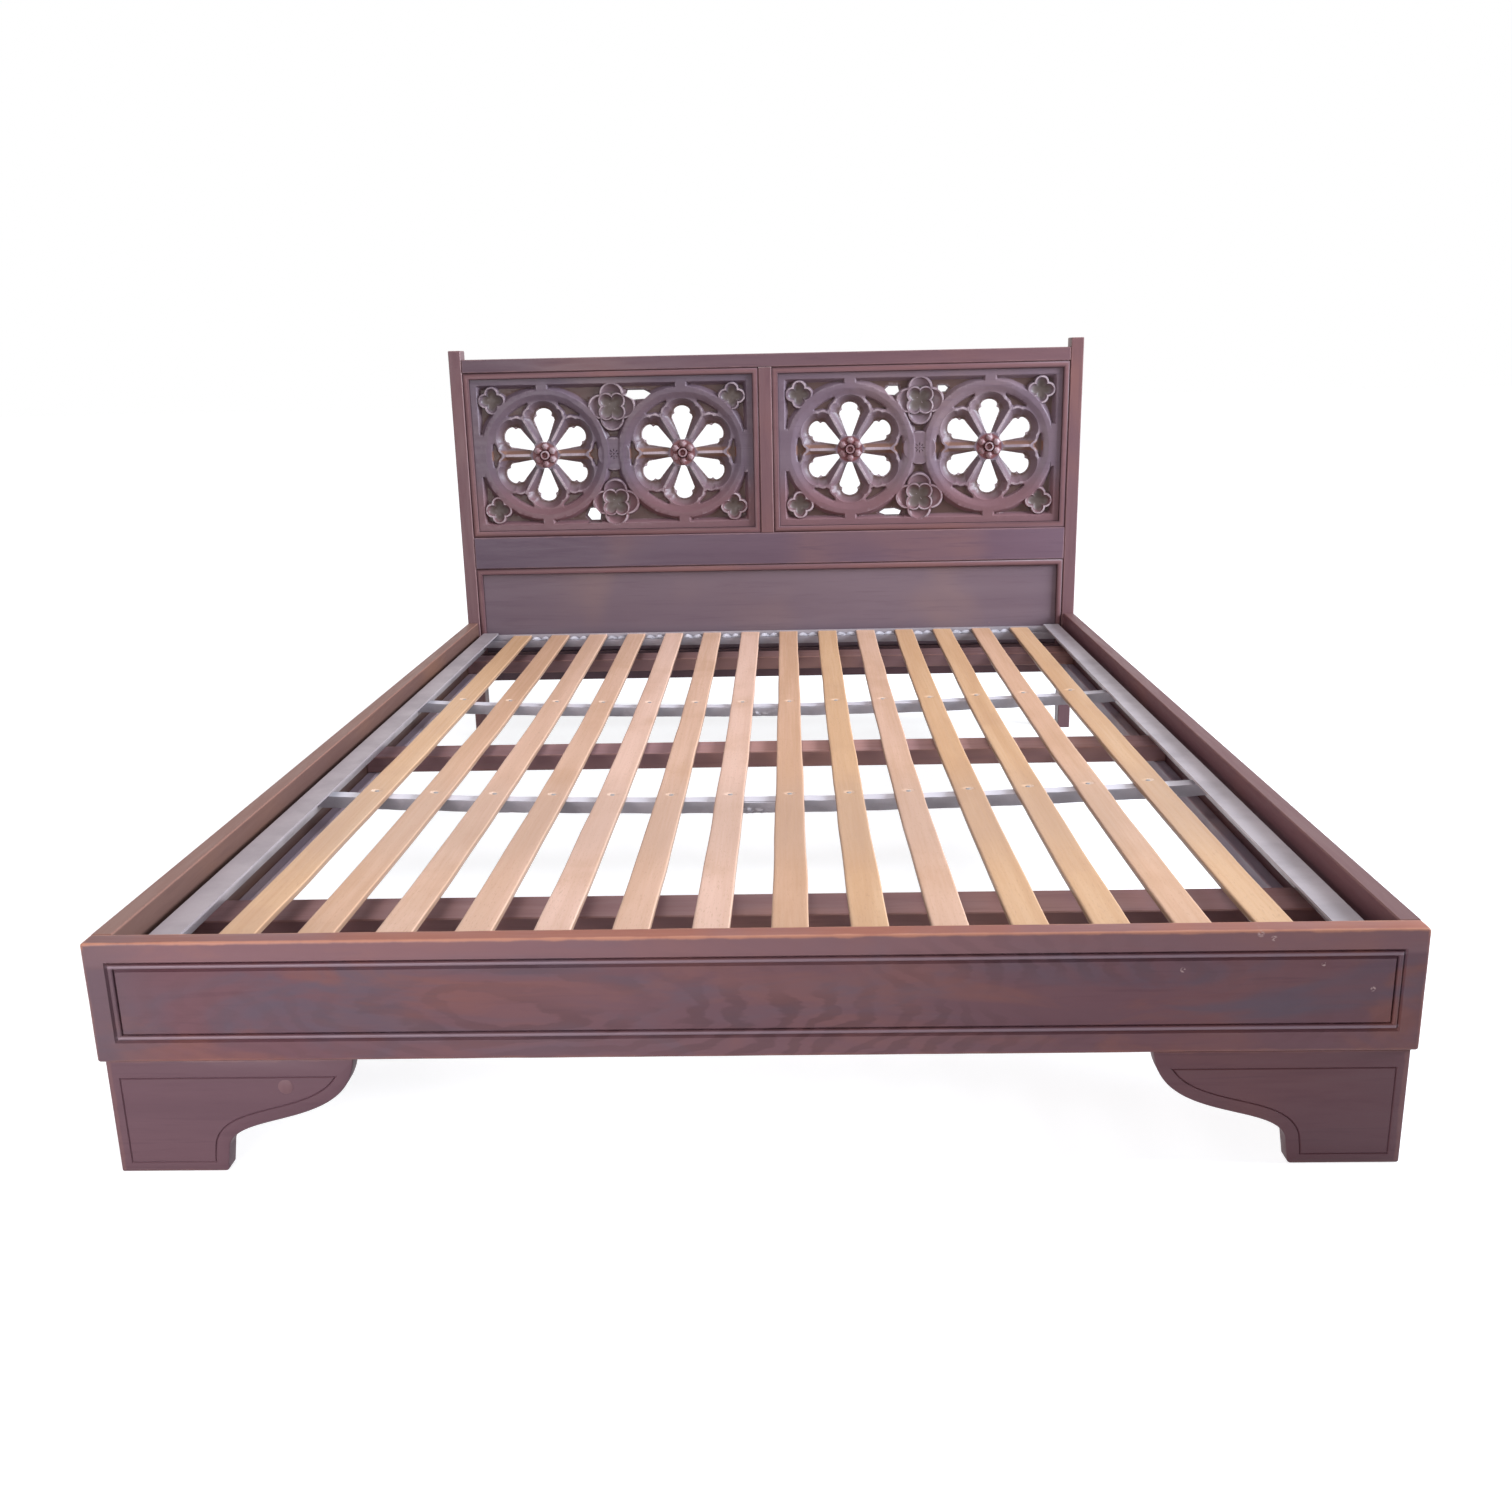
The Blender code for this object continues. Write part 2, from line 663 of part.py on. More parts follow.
def carve_wheel(carving, centre):
    """Ring, six funnel-shaped petals, six spandrel sinkings and a flower at the hub."""
    ring_inner = WHEEL_RADIUS - RING_WIDTH
    circle = spread(CIRCLE_POINTS)
    carving.step("boss", centre, round_outline(WHEEL_RADIUS), round_outline(WHEEL_RADIUS + RING_RUN),
                 circle, 0.0, -GROUND_DEPTH)
    carving.step("sink", centre, round_outline(ring_inner), round_outline(ring_inner - WEB_DEPTH),
                 circle, 0.0, -WEB_DEPTH)
    turn_step = 2 * math.pi / PETALS
    for i in range(PETALS):
        spoke = i * turn_step
        middle = spoke + turn_step / 2
        petal = polar(centre, PETAL_CENTRE, middle)
        carving.step("sink", petal, petal_mouth, petal_hole, petal_angles(),
                     -WEB_DEPTH, RIM_THICK - TRACERY_THICK, turn=middle, hole=True)
        corner = polar(centre, SPANDREL_CENTRE, spoke)
        carving.step("sink", corner, spandrel_outline(0.0), spandrel_outline(WEB_DEPTH),
                     spread(FOIL_POINTS), -WEB_DEPTH, -SPANDREL_DEPTH, turn=spoke)
    flower = foil_outline(PETALS, HUB_RADIUS, HUB_LOBE, turn_step / 2)
    carving.step("boss", centre, flower, lambda a: flower(a) + WALL_RUN, spread(4 * PETALS),
                 0.0, -GROUND_DEPTH)
    carving.step("boss", centre, round_outline(HUB_RING), round_outline(HUB_RING + HUB_RISE),
                 spread(2 * PETALS), HUB_RISE, 0.0)
    carving.step("sink", centre, round_outline(HUB_EYE), round_outline(HUB_EYE - HUB_RISE / 2),
                 spread(PETALS), HUB_RISE, -HUB_RISE)


def carve_rosette(carving, centre):
    """Large double quatrefoil: an outer band, a sunk field and a turned cup in the middle."""
    angles = spread(FOIL_POINTS)
    half_turn = math.pi / 4
    outer = foil_outline(4, ROSETTE_REACH, ROSETTE_LOBE, 0.0)
    inner = foil_outline(4, ROSETTE_REACH - ROSETTE_BAND, ROSETTE_LOBE - ROSETTE_BAND / 2, 0.0)
    rim = foil_outline(4, CUP_REACH, CUP_LOBE, half_turn)
    cup = foil_outline(4, CUP_REACH - CUP_BAND, CUP_LOBE - CUP_BAND / 2, half_turn)
    carving.step("boss", centre, outer, lambda a: outer(a) + WALL_RUN, angles, 0.0, -GROUND_DEPTH)
    carving.step("sink", centre, inner, lambda a: inner(a) - WALL_RUN, angles, 0.0, -ROSETTE_DEPTH)
    carving.step("boss", centre, rim, lambda a: rim(a) + CUP_BAND, angles, 0.0, -ROSETTE_DEPTH)
    carving.step("sink", centre, cup, lambda a: cup(a) * CUP_FLOOR, angles, 0.0, -CUP_DEPTH)


def carve_corner(carving, centre):
    """Small quatrefoil cup in a corner of the panel."""
    angles = spread(FOIL_POINTS)
    rim = foil_outline(4, CORNER_REACH, CORNER_LOBE, 0.0)
    cup = foil_outline(4, CORNER_REACH - CORNER_BAND, CORNER_LOBE - CORNER_BAND / 2, 0.0)
    carving.step("boss", centre, rim, lambda a: rim(a) + WALL_RUN, angles, 0.0, -GROUND_DEPTH)
    carving.step("sink", centre, cup, lambda a: cup(a) * CUP_FLOOR, angles, 0.0, -CUP_DEPTH)


def carve_tab(carving, centre, half_width, half_height):
    edge = box_outline(half_width, half_height)
    foot = box_outline(half_width + TAB_RUN, half_height + TAB_RUN)
    carving.step("boss", centre, edge, foot, box_corners(half_width, half_height), 0.0, -GROUND_DEPTH)


def carve_tabs(carving, wheel, side, half_width, half_height):
    """Flat tabs from a ring to the border above, below and on its outer side."""
    reach = half_height - WHEEL_RADIUS
    for up in (-1, 1):
        place = (wheel[0], up * (WHEEL_RADIUS + reach / 2))
        carve_tab(carving, place, TAB_WIDTH / 2, max(reach, WALL_RUN) / 2 + TAB_OVERLAP)
    reach = half_width - abs(wheel[0]) - WHEEL_RADIUS
    place = (side * (abs(wheel[0]) + WHEEL_RADIUS + reach / 2), 0.0)
    carve_tab(carving, place, max(reach, WALL_RUN) / 2 + TAB_OVERLAP, SIDE_TAB_HEIGHT / 2)


def carve_slots(carving):
    """Pierced three-sided slots beside the rosettes, between the rings and the border."""
    for across in (-1, 1):
        for up in (-1, 1):
            centre = (across * SLOT_OFFSET[0], up * SLOT_OFFSET[1])
            corners = [(across * x, up * z) for x, z in SLOT_CORNERS]
            edge = corner_outline(corners)
            angles = sorted(math.atan2(z, x) for x, z in corners)
            carving.step("sink", centre, edge, lambda a, edge=edge: edge(a) * SLOT_RUN, angles,
                         -GROUND_DEPTH, RIM_THICK - TRACERY_THICK, hole=True)


def tracery_mesh():
    """Carved board with two wheels, a boss between them, rosettes and corner quatrefoils.

    The pattern is drawn at its own size and fitted in plan to the field inside the border.
    """
    edge = MOULDING_WIDTH + BORDER_WIDTH
    fit = min((BAY_WIDTH - 2 * edge) / PATTERN_WIDTH, (BAY_HEIGHT - 2 * edge) / PATTERN_HEIGHT)
    carving = Carving((BAY_WIDTH - 2 * GAP) / fit, (BAY_HEIGHT - 2 * GAP) / fit, TRACERY_THICK)
    half_width = (BAY_WIDTH / 2 - edge) / fit
    half_height = (BAY_HEIGHT / 2 - edge) / fit
    carving.step("sink", (0.0, 0.0), box_outline(half_width, half_height),
                 box_outline(half_width - BORDER_RUN, half_height - BORDER_RUN),
                 box_corners(half_width, half_height), 0.0, -GROUND_DEPTH)
    carve_slots(carving)
    for up in (-1, 1):
        for across in (-1, 1):
            corner_x = half_width - CORNER_INSET
            corner_z = half_height - CORNER_INSET
            carve_corner(carving, (across * corner_x, up * corner_z))
    for rise in ROSETTE_RISES:
        carve_rosette(carving, (0.0, rise))
    for side in (-1, 1):
        wheel = (side * WHEEL_SPACING / 2, 0.0)
        carve_wheel(carving, wheel)
        carve_tabs(carving, wheel, side, half_width, half_height)
    carving.step("boss", (0.0, 0.0), round_outline(BOSS_RADIUS), round_outline(BOSS_RADIUS + WALL_RUN),
                 spread(FOIL_POINTS), -WEB_DEPTH / 2, -GROUND_DEPTH)
    solid = carving.solid(fit)
    bmesh.ops.recalc_face_normals(solid, faces=solid.faces)
    mesh = bpy.data.meshes.new("tracery_panel")
    solid.to_mesh(mesh)
    solid.free()
    return mesh


def build_headboard(root):
    for side, label in SIDES:
        outer = side * BED_WIDTH / 2
        inner = side * POST_INNER_X
        post = board(label + "_post", (min(outer, inner), HEAD_FACE, 0.0),
                     (max(outer, inner), BACK_FACE, POST_HEIGHT), "walnut", root)
        cut(post, [bolt_cutter(side)])
    reach = POST_INNER_X - GAP
    rear = HEAD_FACE + FRAME_DEPTH
    board("top_rail", (-reach, HEAD_FACE, BAY_TOP), (reach, rear, TOP_RAIL_TOP), "walnut", root)
    board("middle_rail", (-reach, HEAD_FACE, LOWER_BAY_TOP), (reach, rear, BAY_BOTTOM), "walnut", root)
    board("bottom_rail", (-reach, HEAD_FACE, FOOT_HEIGHT), (reach, rear, LOWER_BAY_BOTTOM), "walnut", root)
    board("centre_muntin", (-MUNTIN_WIDTH / 2, HEAD_FACE, BAY_BOTTOM + GAP),
          (MUNTIN_WIDTH / 2, rear, BAY_TOP - GAP), "walnut", root)
    build_tracery(root)
    build_lower_panel(root)


def build_tracery(root):
    mesh = tracery_mesh()
    section = moulding_section()
    centre_z = (BAY_TOP + BAY_BOTTOM) / 2
    for side, label in SIDES:
        centre_x = side * BAY_CENTRE_X
        place = (centre_x, HEAD_FACE + PANEL_SETBACK, centre_z)
        add_mesh_object(label + "_tracery_panel", mesh, place, "carved_walnut", root)
        half_width = BAY_WIDTH / 2 - GAP
        half_height = BAY_HEIGHT / 2 - GAP
        path = [(centre_x + a * half_width, centre_z + b * half_height)
                for a, b in ((-1, -1), (1, -1), (1, 1), (-1, 1))]
        ring = mitred_strip(path, section, HEAD_FACE, True)
        add_object(label + "_panel_moulding", ring, (centre_x, HEAD_FACE, centre_z), "walnut", root)


def build_lower_panel(root):
    reach = POST_INNER_X - GAP
    face = HEAD_FACE + PANEL_SETBACK
    low = LOWER_BAY_BOTTOM + GAP
    high = LOWER_BAY_TOP - GAP
    board("lower_panel", (-reach, face, low), (reach, face + LOWER_PANEL_THICK, high), "panel_walnut", root)
    path = [(reach, low), (reach, high), (-reach, high), (-reach, low)]
    strip = mitred_strip(path, moulding_section(), HEAD_FACE, False)
    add_object("lower_panel_moulding", strip, (0.0, HEAD_FACE, high), "walnut", root)


def build_foot_rail(root):
    """Foot rail with a bead between two grooves run round its face, mitred at the corners."""
    groove_2 = BEAD_MARGIN + GROOVE_WIDTH + BEAD_WIDTH
    stations = [
        (groove_2 + GROOVE_WIDTH, 0.0),
        (groove_2 + GROOVE_WIDTH / 2, GROOVE_DEPTH),
        (groove_2, GROOVE_DEPTH / 4),
        (groove_2 - BEAD_WIDTH / 3, 0.0),
        (BEAD_MARGIN + GROOVE_WIDTH + BEAD_WIDTH / 3, 0.0),
        (BEAD_MARGIN + GROOVE_WIDTH, GROOVE_DEPTH / 4),
        (BEAD_MARGIN + GROOVE_WIDTH / 2, GROOVE_DEPTH),
        (BEAD_MARGIN, 0.0),
        (ARRIS, 0.0),
        (0.0, ARRIS),
        (0.0, FOOT_RAIL_THICK - ARRIS),
        (ARRIS, FOOT_RAIL_THICK),
    ]
    loops = []
    for inset, depth in stations:
        half_width = BED_WIDTH / 2 - inset
        low = FOOT_HEIGHT + inset
        high = RAIL_TOP - inset
        loops.append([(x, FOOT_FACE + depth, z) for x, z in
                      ((-half_width, low), (half_width, low), (half_width, high), (-half_width, high))])
    middle = (0.0, FOOT_FACE + FOOT_RAIL_THICK / 2, (FOOT_HEIGHT + RAIL_TOP) / 2)
    add_object("foot_rail", loft(loops), middle, "walnut", root)


def build_side_rails(root):
    for side, label in SIDES:
        outer = side * BED_WIDTH / 2
        inner = side * RAIL_INNER_X
        rail = board(label + "_side_rail", (min(outer, inner), FOOT_INNER_Y + GAP, FOOT_HEIGHT),
                     (max(outer, inner), HEAD_FACE - GAP, RAIL_TOP), "walnut", root)
        cut(rail, rail_cutters(side))


def bolt_cutter(side):
    """Bore and counterbore through a post, in the object's own place."""
    bore = BOLT_RADIUS + BORE_CLEARANCE
    seat = BOLT_HEAD_RADIUS + BORE_CLEARANCE
    stations = [
        (seat, BACK_FACE + BORE_EXTRA),
        (seat, BOLT_SEAT_Y - GAP),
        (bore, BOLT_SEAT_Y - GAP),
        (bore, HEAD_FACE - BORE_EXTRA),
    ]
    return turned(stations, "Y", (side * BOLT_X, 0.0, BOLT_Z))


def rail_cutters(side):
    """Bore for the bolt in the end of a side rail, and a cross bore for its nut."""
    bore = BOLT_RADIUS + BORE_CLEARANCE
    bolt = turned([(bore, HEAD_FACE + BORE_EXTRA), (bore, BOLT_TIP_Y - BORE_EXTRA)], "Y",
                  (side * BOLT_X, 0.0, BOLT_Z))
    hole = NUT_RADIUS + BORE_CLEARANCE
    floor = side * (BED_WIDTH / 2 - NUT_COVER + BORE_CLEARANCE)
    mouth = side * (RAIL_INNER_X - BORE_EXTRA)
    nut = turned([(hole, mouth), (hole, floor)], "X", (0.0, NUT_Y, BOLT_Z))
    return [bolt, nut]


def build_bolts(root):
    bore = BOLT_RADIUS + BORE_CLEARANCE
    for side, label in SIDES:
        axis = (side * BOLT_X, 0.0, BOLT_Z)
        stations = [
            (BOLT_HEAD_RADIUS - BOLT_HEAD_CROWN, BOLT_SEAT_Y + BOLT_HEAD_HEIGHT),
            (BOLT_HEAD_RADIUS, BOLT_SEAT_Y + BOLT_HEAD_HEIGHT - BOLT_HEAD_CROWN),
            (BOLT_HEAD_RADIUS, BOLT_SEAT_Y),
            (BOLT_RADIUS, BOLT_SEAT_Y),
            (BOLT_RADIUS, BOLT_TIP_Y + BOLT_RADIUS / 2),
            (BOLT_RADIUS / 2, BOLT_TIP_Y),
        ]
        place = (axis[0], BOLT_SEAT_Y, BOLT_Z)
        bolt = add_object(label + "_bed_bolt", turned(stations, "Y", axis), place, "bolt_steel", root)
        shade_round(bolt)
        outer = side * (BED_WIDTH / 2 - NUT_COVER)
        inner = side * (RAIL_INNER_X + NUT_COVER)
        middle = (axis[0], NUT_Y, BOLT_Z)
        solid = turned([(NUT_RADIUS, inner), (NUT_RADIUS, outer)], "X", middle)
        nut = add_object(label + "_barrel_nut", solid, middle, "bolt_steel", root)
        hole = turned([(bore, NUT_Y - 2 * NUT_RADIUS), (bore, NUT_Y + 2 * NUT_RADIUS)], "Y", middle)
        cut(nut, [hole])
        shade_round(nut)


def ogee_outline():
    """Outline of a bracket foot: distance from its corner, and height."""
    top = FOOT_HEIGHT - GAP
    run = BRACKET_WIDTH - ANKLE_WIDTH
    rise = top - ANKLE_HEIGHT
    handles = [
        (BRACKET_WIDTH, top),
        (BRACKET_WIDTH - OGEE_TOP_PULL[0] * run, top - OGEE_TOP_PULL[1] * rise),
        (ANKLE_WIDTH + OGEE_ANKLE_PULL[0] * run, ANKLE_HEIGHT + OGEE_ANKLE_PULL[1] * rise),
        (ANKLE_WIDTH, ANKLE_HEIGHT),
    ]
    curve = []
    for i in range(OGEE_POINTS + 1):
        t = i / OGEE_POINTS
        weights = ((1 - t) ** 3, 3 * t * (1 - t) ** 2, 3 * t * t * (1 - t), t ** 3)
        curve.append(tuple(sum(w * h[axis] for w, h in zip(weights, handles)) for axis in (0, 1)))
    return [(0.0, 0.0), (0.0, top)] + curve + [(TOE_WIDTH, 0.0)]


def build_feet(root):
    outline = ogee_outline()
    front_y = FOOT_FACE + BRACKET_FRONT_INSET
    rear_y = front_y + BRACKET_THICK
    top = FOOT_HEIGHT - GAP
    for side, label in SIDES:
        corner = side * (BED_WIDTH / 2 - BRACKET_SIDE_INSET)
        inner = corner - side * BRACKET_THICK

        def front(point, end):
            return (corner - side * point[0], rear_y if end else front_y, point[1])

        def flank(point, end):
            return (inner if end else corner, front_y + point[0], point[1])

        add_object(label + "_front_bracket", prism(outline, front), (corner, front_y, 0.0), "walnut", root)
        hidden = BRACKET_THICK + GAP
        short = [(max(along, hidden), up) for along, up in outline]
        add_object(label + "_side_bracket", prism(short, flank), (corner, rear_y, 0.0), "walnut", root)
        near = inner - side * GAP
        far = near - side * FOOT_BLOCK_WIDTH
        board(label + "_foot_block", (min(near, far), rear_y + GAP, 0.0),
              (max(near, far), rear_y + GAP + FOOT_BLOCK_WIDTH, top), "inner_wood", root)


def build_supports(root):
    """Corner blocks, ledgers along the rails and three bearers lying across them."""
    for side, label in SIDES:
        near = side * (RAIL_INNER_X - GAP)
        far = near - side * CORNER_BLOCK_WIDTH
        low = FOOT_HEIGHT + CORNER_BLOCK_RISE
        block_end = FOOT_INNER_Y + GAP + CORNER_BLOCK_WIDTH
        board(label + "_corner_block", (min(near, far), FOOT_INNER_Y + GAP, low),
              (max(near, far), block_end, low + CORNER_BLOCK_HEIGHT), "inner_wood", root)
        far = near - side * LEDGER_WIDTH
        board(label + "_ledger", (min(near, far), block_end + GAP, LEDGER_BOTTOM),
              (max(near, far), HEAD_FACE - GAP, LEDGER_BOTTOM + LEDGER_HEIGHT), "inner_wood", root)
    middles = {
        "foot_bearer": FOOT_FACE + FOOT_BEARER_SETBACK,
        "middle_bearer": BASE_MIDDLE_Y + MIDDLE_BEARER_OFFSET,
        "head_bearer": HEAD_FACE - HEAD_BEARER_SETBACK,
    }
    reach = RAIL_INNER_X - GAP
    for name, middle in middles.items():
        board(name, (-reach, middle - BEARER_WIDTH / 2, BEARER_BOTTOM),
              (reach, middle + BEARER_WIDTH / 2, BEARER_BOTTOM + BEARER_THICK), "inner_wood", root)


def dip(x, y):
    """How far the middle of the base has sagged at a point, deepest between the cross bars."""
    start = BASE_FOOT_Y + CHANNEL_WIDTH
    share = (y - start) / (BASE_LENGTH - 2 * CHANNEL_WIDTH)
    share = min(max(share, 0.0), 1.0)
    across = 1 - (x / BAR_HALF_SPAN) ** 2
    return SAG * max(across, 0.0) * math.sin(math.pi * share) / math.sin(math.pi / 3)


def sagged(solid):
    for vert in solid.verts:
        vert.co.z -= dip(vert.co.x, vert.co.y)
    return solid


def slat_centres():
    last = BASE_WIDTH / 2 - ANGLE_FLANGE - SLAT_SIDE_GAP - SLAT_WIDTH / 2
    pitch = 2 * last / (SLAT_COUNT - 1)
    return [pitch * i - last for i in range(SLAT_COUNT)]


def bar_y(share):
    return BASE_FOOT_Y + CHANNEL_WIDTH + share * (BASE_LENGTH - 2 * CHANNEL_WIDTH)


def build_side_angles(root):
    """Steel angles: a flat flange on top and a leg down its outer edge to the bearers."""
    for side, label in SIDES:
        outer = side * BASE_WIDTH / 2
        section = [
            (0.0, BASE_BOTTOM),
            (0.0, BASE_TOP),
            (ANGLE_FLANGE, BASE_TOP),
            (ANGLE_FLANGE, BASE_TOP - STEEL_THICK),
            (STEEL_THICK, BASE_TOP - STEEL_THICK),
            (STEEL_THICK, BASE_BOTTOM),
        ]

        def place(point, end):
            return (outer - side * point[0], BASE_HEAD_Y if end else BASE_FOOT_Y, point[1])

        add_object(label + "_side_angle", prism(section, place), (outer, 0.0, BASE_BOTTOM), "steel", root)


def build_channels(root):
    """Steel channels, open upwards: the slats lie over the low lip and stop at the high lip."""
    bottom = LIP_TOP - CHANNEL_HEIGHT
    section = [
        (0.0, LIP_TOP),
        (STEEL_THICK, LIP_TOP),
        (STEEL_THICK, bottom + STEEL_THICK),
        (CHANNEL_WIDTH - STEEL_THICK, bottom + STEEL_THICK),
        (CHANNEL_WIDTH - STEEL_THICK, BAR_TOP),
        (CHANNEL_WIDTH, BAR_TOP),
        (CHANNEL_WIDTH, bottom),
        (0.0, bottom),
    ]
    for name, end_y, inward in (("head_channel", BASE_HEAD_Y, -1), ("foot_channel", BASE_FOOT_Y, 1)):

        def place(point, end):
            return (BAR_HALF_SPAN if end else -BAR_HALF_SPAN, end_y + inward * point[0], point[1])

        add_object(name, prism(section, place), (0.0, end_y, bottom), "steel", root)


def build_cross_bars(root):
    """Steel angle bars under the slats, bent down in the middle, each with a splice plate."""
    stations = [-BAR_HALF_SPAN] + slat_centres() + [BAR_HALF_SPAN]
    section = [
        (-BAR_FLANGE / 2, BAR_TOP),
        (BAR_FLANGE / 2, BAR_TOP),
        (BAR_FLANGE / 2, BAR_TOP - BAR_THICK),
        (BAR_THICK - BAR_FLANGE / 2, BAR_TOP - BAR_THICK),
        (BAR_THICK - BAR_FLANGE / 2, BAR_TOP - BAR_LEG),
        (-BAR_FLANGE / 2, BAR_TOP - BAR_LEG),
    ]
    for label, share in (("front", 1 / 3), ("rear", 2 / 3)):
        middle = bar_y(share)
        loops = [[(x, middle + across, z) for across, z in section] for x in stations]
        add_object(label + "_cross_bar", sagged(loft(loops)), (0.0, middle, BAR_TOP), "steel", root)
        face = middle - BAR_FLANGE / 2 - GAP
        plate_top = BAR_TOP - dip(0.0, middle) - (BAR_LEG - PLATE_HEIGHT) / 2
        board(label + "_splice_plate", (-PLATE_LENGTH / 2, face - BAR_THICK, plate_top - PLATE_HEIGHT),
              (PLATE_LENGTH / 2, face, plate_top), "steel", root)


def build_slats(root):
    """Lengthwise slats with eased edges, bent to lie on the sagged bars."""
    start = BASE_FOOT_Y + STEEL_THICK + GAP
    end = BASE_HEAD_Y - STEEL_THICK - GAP
    shares = [i / SLAT_STATIONS for i in range(SLAT_STATIONS + 1)]
    stations = [start] + [bar_y(share) for share in shares] + [end]
    half = SLAT_WIDTH / 2
    section = [
        (-half + SLAT_EDGE, SLAT_BOTTOM),
        (half - SLAT_EDGE, SLAT_BOTTOM),
        (half, SLAT_BOTTOM + SLAT_EDGE),
        (half, SLAT_TOP - SLAT_EDGE),
        (half - SLAT_EDGE, SLAT_TOP),
        (-half + SLAT_EDGE, SLAT_TOP),
        (-half, SLAT_TOP - SLAT_EDGE),
        (-half, SLAT_BOTTOM + SLAT_EDGE),
    ]
    for i, centre in enumerate(slat_centres()):
        loops = [[(centre + across, y, z) for across, z in section] for y in stations]
        name = f"slat_{i + 1:02d}"
        add_object(name, sagged(loft(loops)), (centre, 0.0, SLAT_BOTTOM), "beech", root)


def build_bed():
    clear_scene()
    for name in FINISHES:
        make_material(name)
    frame = make_root("bed_frame_root", (0.0, 0.0, 0.0))
    base = make_root("slat_base_root", (0.0, 0.0, BASE_BOTTOM))
    build_headboard(frame)
    build_foot_rail(frame)
    build_side_rails(frame)
    build_bolts(frame)
    build_feet(frame)
    build_supports(frame)
    build_side_angles(base)
    build_channels(base)
    build_cross_bars(base)
    build_slats(base)


build_bed()
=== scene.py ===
"""Looks of the carved double bed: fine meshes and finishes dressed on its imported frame.

Metres, +Z up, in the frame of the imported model: X across the bed, +Y towards the headboard.
"""
import math

import bmesh
import bpy
import numpy as np
from mathutils import Matrix, Vector, noise
from mathutils.geometry import delaunay_2d_cdt


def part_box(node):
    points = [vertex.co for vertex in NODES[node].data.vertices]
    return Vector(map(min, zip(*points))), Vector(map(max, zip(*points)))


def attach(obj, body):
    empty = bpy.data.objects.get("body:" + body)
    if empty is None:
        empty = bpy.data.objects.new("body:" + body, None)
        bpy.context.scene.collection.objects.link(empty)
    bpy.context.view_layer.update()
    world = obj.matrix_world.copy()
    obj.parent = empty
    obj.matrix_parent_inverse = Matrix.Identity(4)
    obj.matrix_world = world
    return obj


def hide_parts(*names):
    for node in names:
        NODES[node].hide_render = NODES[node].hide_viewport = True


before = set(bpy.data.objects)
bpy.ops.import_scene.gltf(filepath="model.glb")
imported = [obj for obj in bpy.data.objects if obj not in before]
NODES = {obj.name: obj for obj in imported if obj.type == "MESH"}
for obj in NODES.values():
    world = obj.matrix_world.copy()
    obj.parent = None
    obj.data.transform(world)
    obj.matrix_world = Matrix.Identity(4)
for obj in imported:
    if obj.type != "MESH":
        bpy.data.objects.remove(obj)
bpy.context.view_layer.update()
SIDES = ((-1, "left"), (1, "right"))
BED = "bed_frame"
BASE = "slat_base"
FULL_TURN = 2 * math.pi
MILLIMETRES = 1000.0

# Camera, found from the outline of the bed in the photograph
IMAGE_SIZE = 1512
FOCAL_PIXELS = 1425.2
SENSOR_WIDTH = 36.0
CAMERA_PLACE = (0.0505, -2.3862, 0.8612)
CAMERA_YAW = -0.0267
CAMERA_PITCH = 0.2698
CAMERA_ROLL = -0.0217

# Light and floor; each lamp has a place, an aim, a size, a colour and a power
SKY_COLOUR = (0.84, 0.87, 1.0)
SKY_SIDE = (0.66, -0.10, 0.74)
SKY_DARK_SIDE = -0.6
SKY_RANGE = (0.085, 0.46)
LAMPS = (
    ("window", (4.1, -0.35, 1.9), (0.0, 0.9, 0.60), 2.2, (0.78, 0.88, 1.0), 500),
    ("front_left", (-1.0, -2.45, 0.6), (-0.25, -0.95, 0.2), 1.0, (1.0, 0.94, 0.98), 30),
    ("above", (-0.4, -0.1, 2.6), (-0.2, 0.2, 0.3), 1.6, (0.95, 0.95, 1.0), 26),
)
FLOOR_SIZE = 60.0
FLOOR_LEVEL = -0.0005
FLOOR_GLOW = (0.79, 0.95)
FLOOR_FADE = (1.2, 4.0)
FLOOR_SEEN = (0.45, 0.45, 0.45)
FLOOR_UNSEEN = (0.38, 0.38, 0.38)
WHITE = (1.0, 1.0, 1.0)

# Carving of the tracery panels: levels are measured from the face of the board
TRACERY_THICK = 0.022
EDGE_BORDER = 0.0275
PANEL_GAP = 0.00028
GROUND_DEPTH = 0.011
BORDER_RUN = 0.0085
RING_RUN = 0.0095
TAB_RUN = 0.0075
WALL_RUN = 0.0040
RIM_THICK = 0.004
WHEEL_SPACING = 0.3176
WHEEL_RADIUS = 0.1462
RING_WIDTH = 0.0205
WEB_DEPTH = 0.0040
RING_FLAT = 0.0095
HAND_CUT = 0.0007
PETALS = 6
PETAL_STEP = FULL_TURN / PETALS
PETAL_CENTRE = 0.080
HEAD_CENTRE = 0.100
HEAD_HALF_WIDTH = 0.0335
HEAD_HALF_HEIGHT = 0.0215
LOBE_CENTRE = (0.0885, 0.0275)
LOBE_RADIUS = 0.0160
SHOULDER_DISTANCE = 0.0438
SHOULDER_FACING = math.radians(75)
SPOKE_HALF_WIDTH = 0.0025
HUB_RADIUS = 0.0305
HUB_LOBE = 0.0112
HUB_LOBE_TIP = 0.0005
HUB_RING = 0.0115
HUB_RING_WALL = 0.002
HUB_EYE = 0.0070
HUB_EYE_FLOOR = 0.001
HUB_RISE = 0.004
HUB_FALL = 0.0065
HOLE_CENTRE = 0.0815
HOLE_RADIUS = 0.0232
HOLE_TAPER = math.radians(20.5)
HOLE_TAIL = 0.0290
CUSP_FACING = math.radians(66)
CUSP_SPREAD = math.radians(11)
CUSP_LENGTH = 0.0050
SPANDREL_CENTRE = 0.111
SPANDREL_FILLET = 0.0035
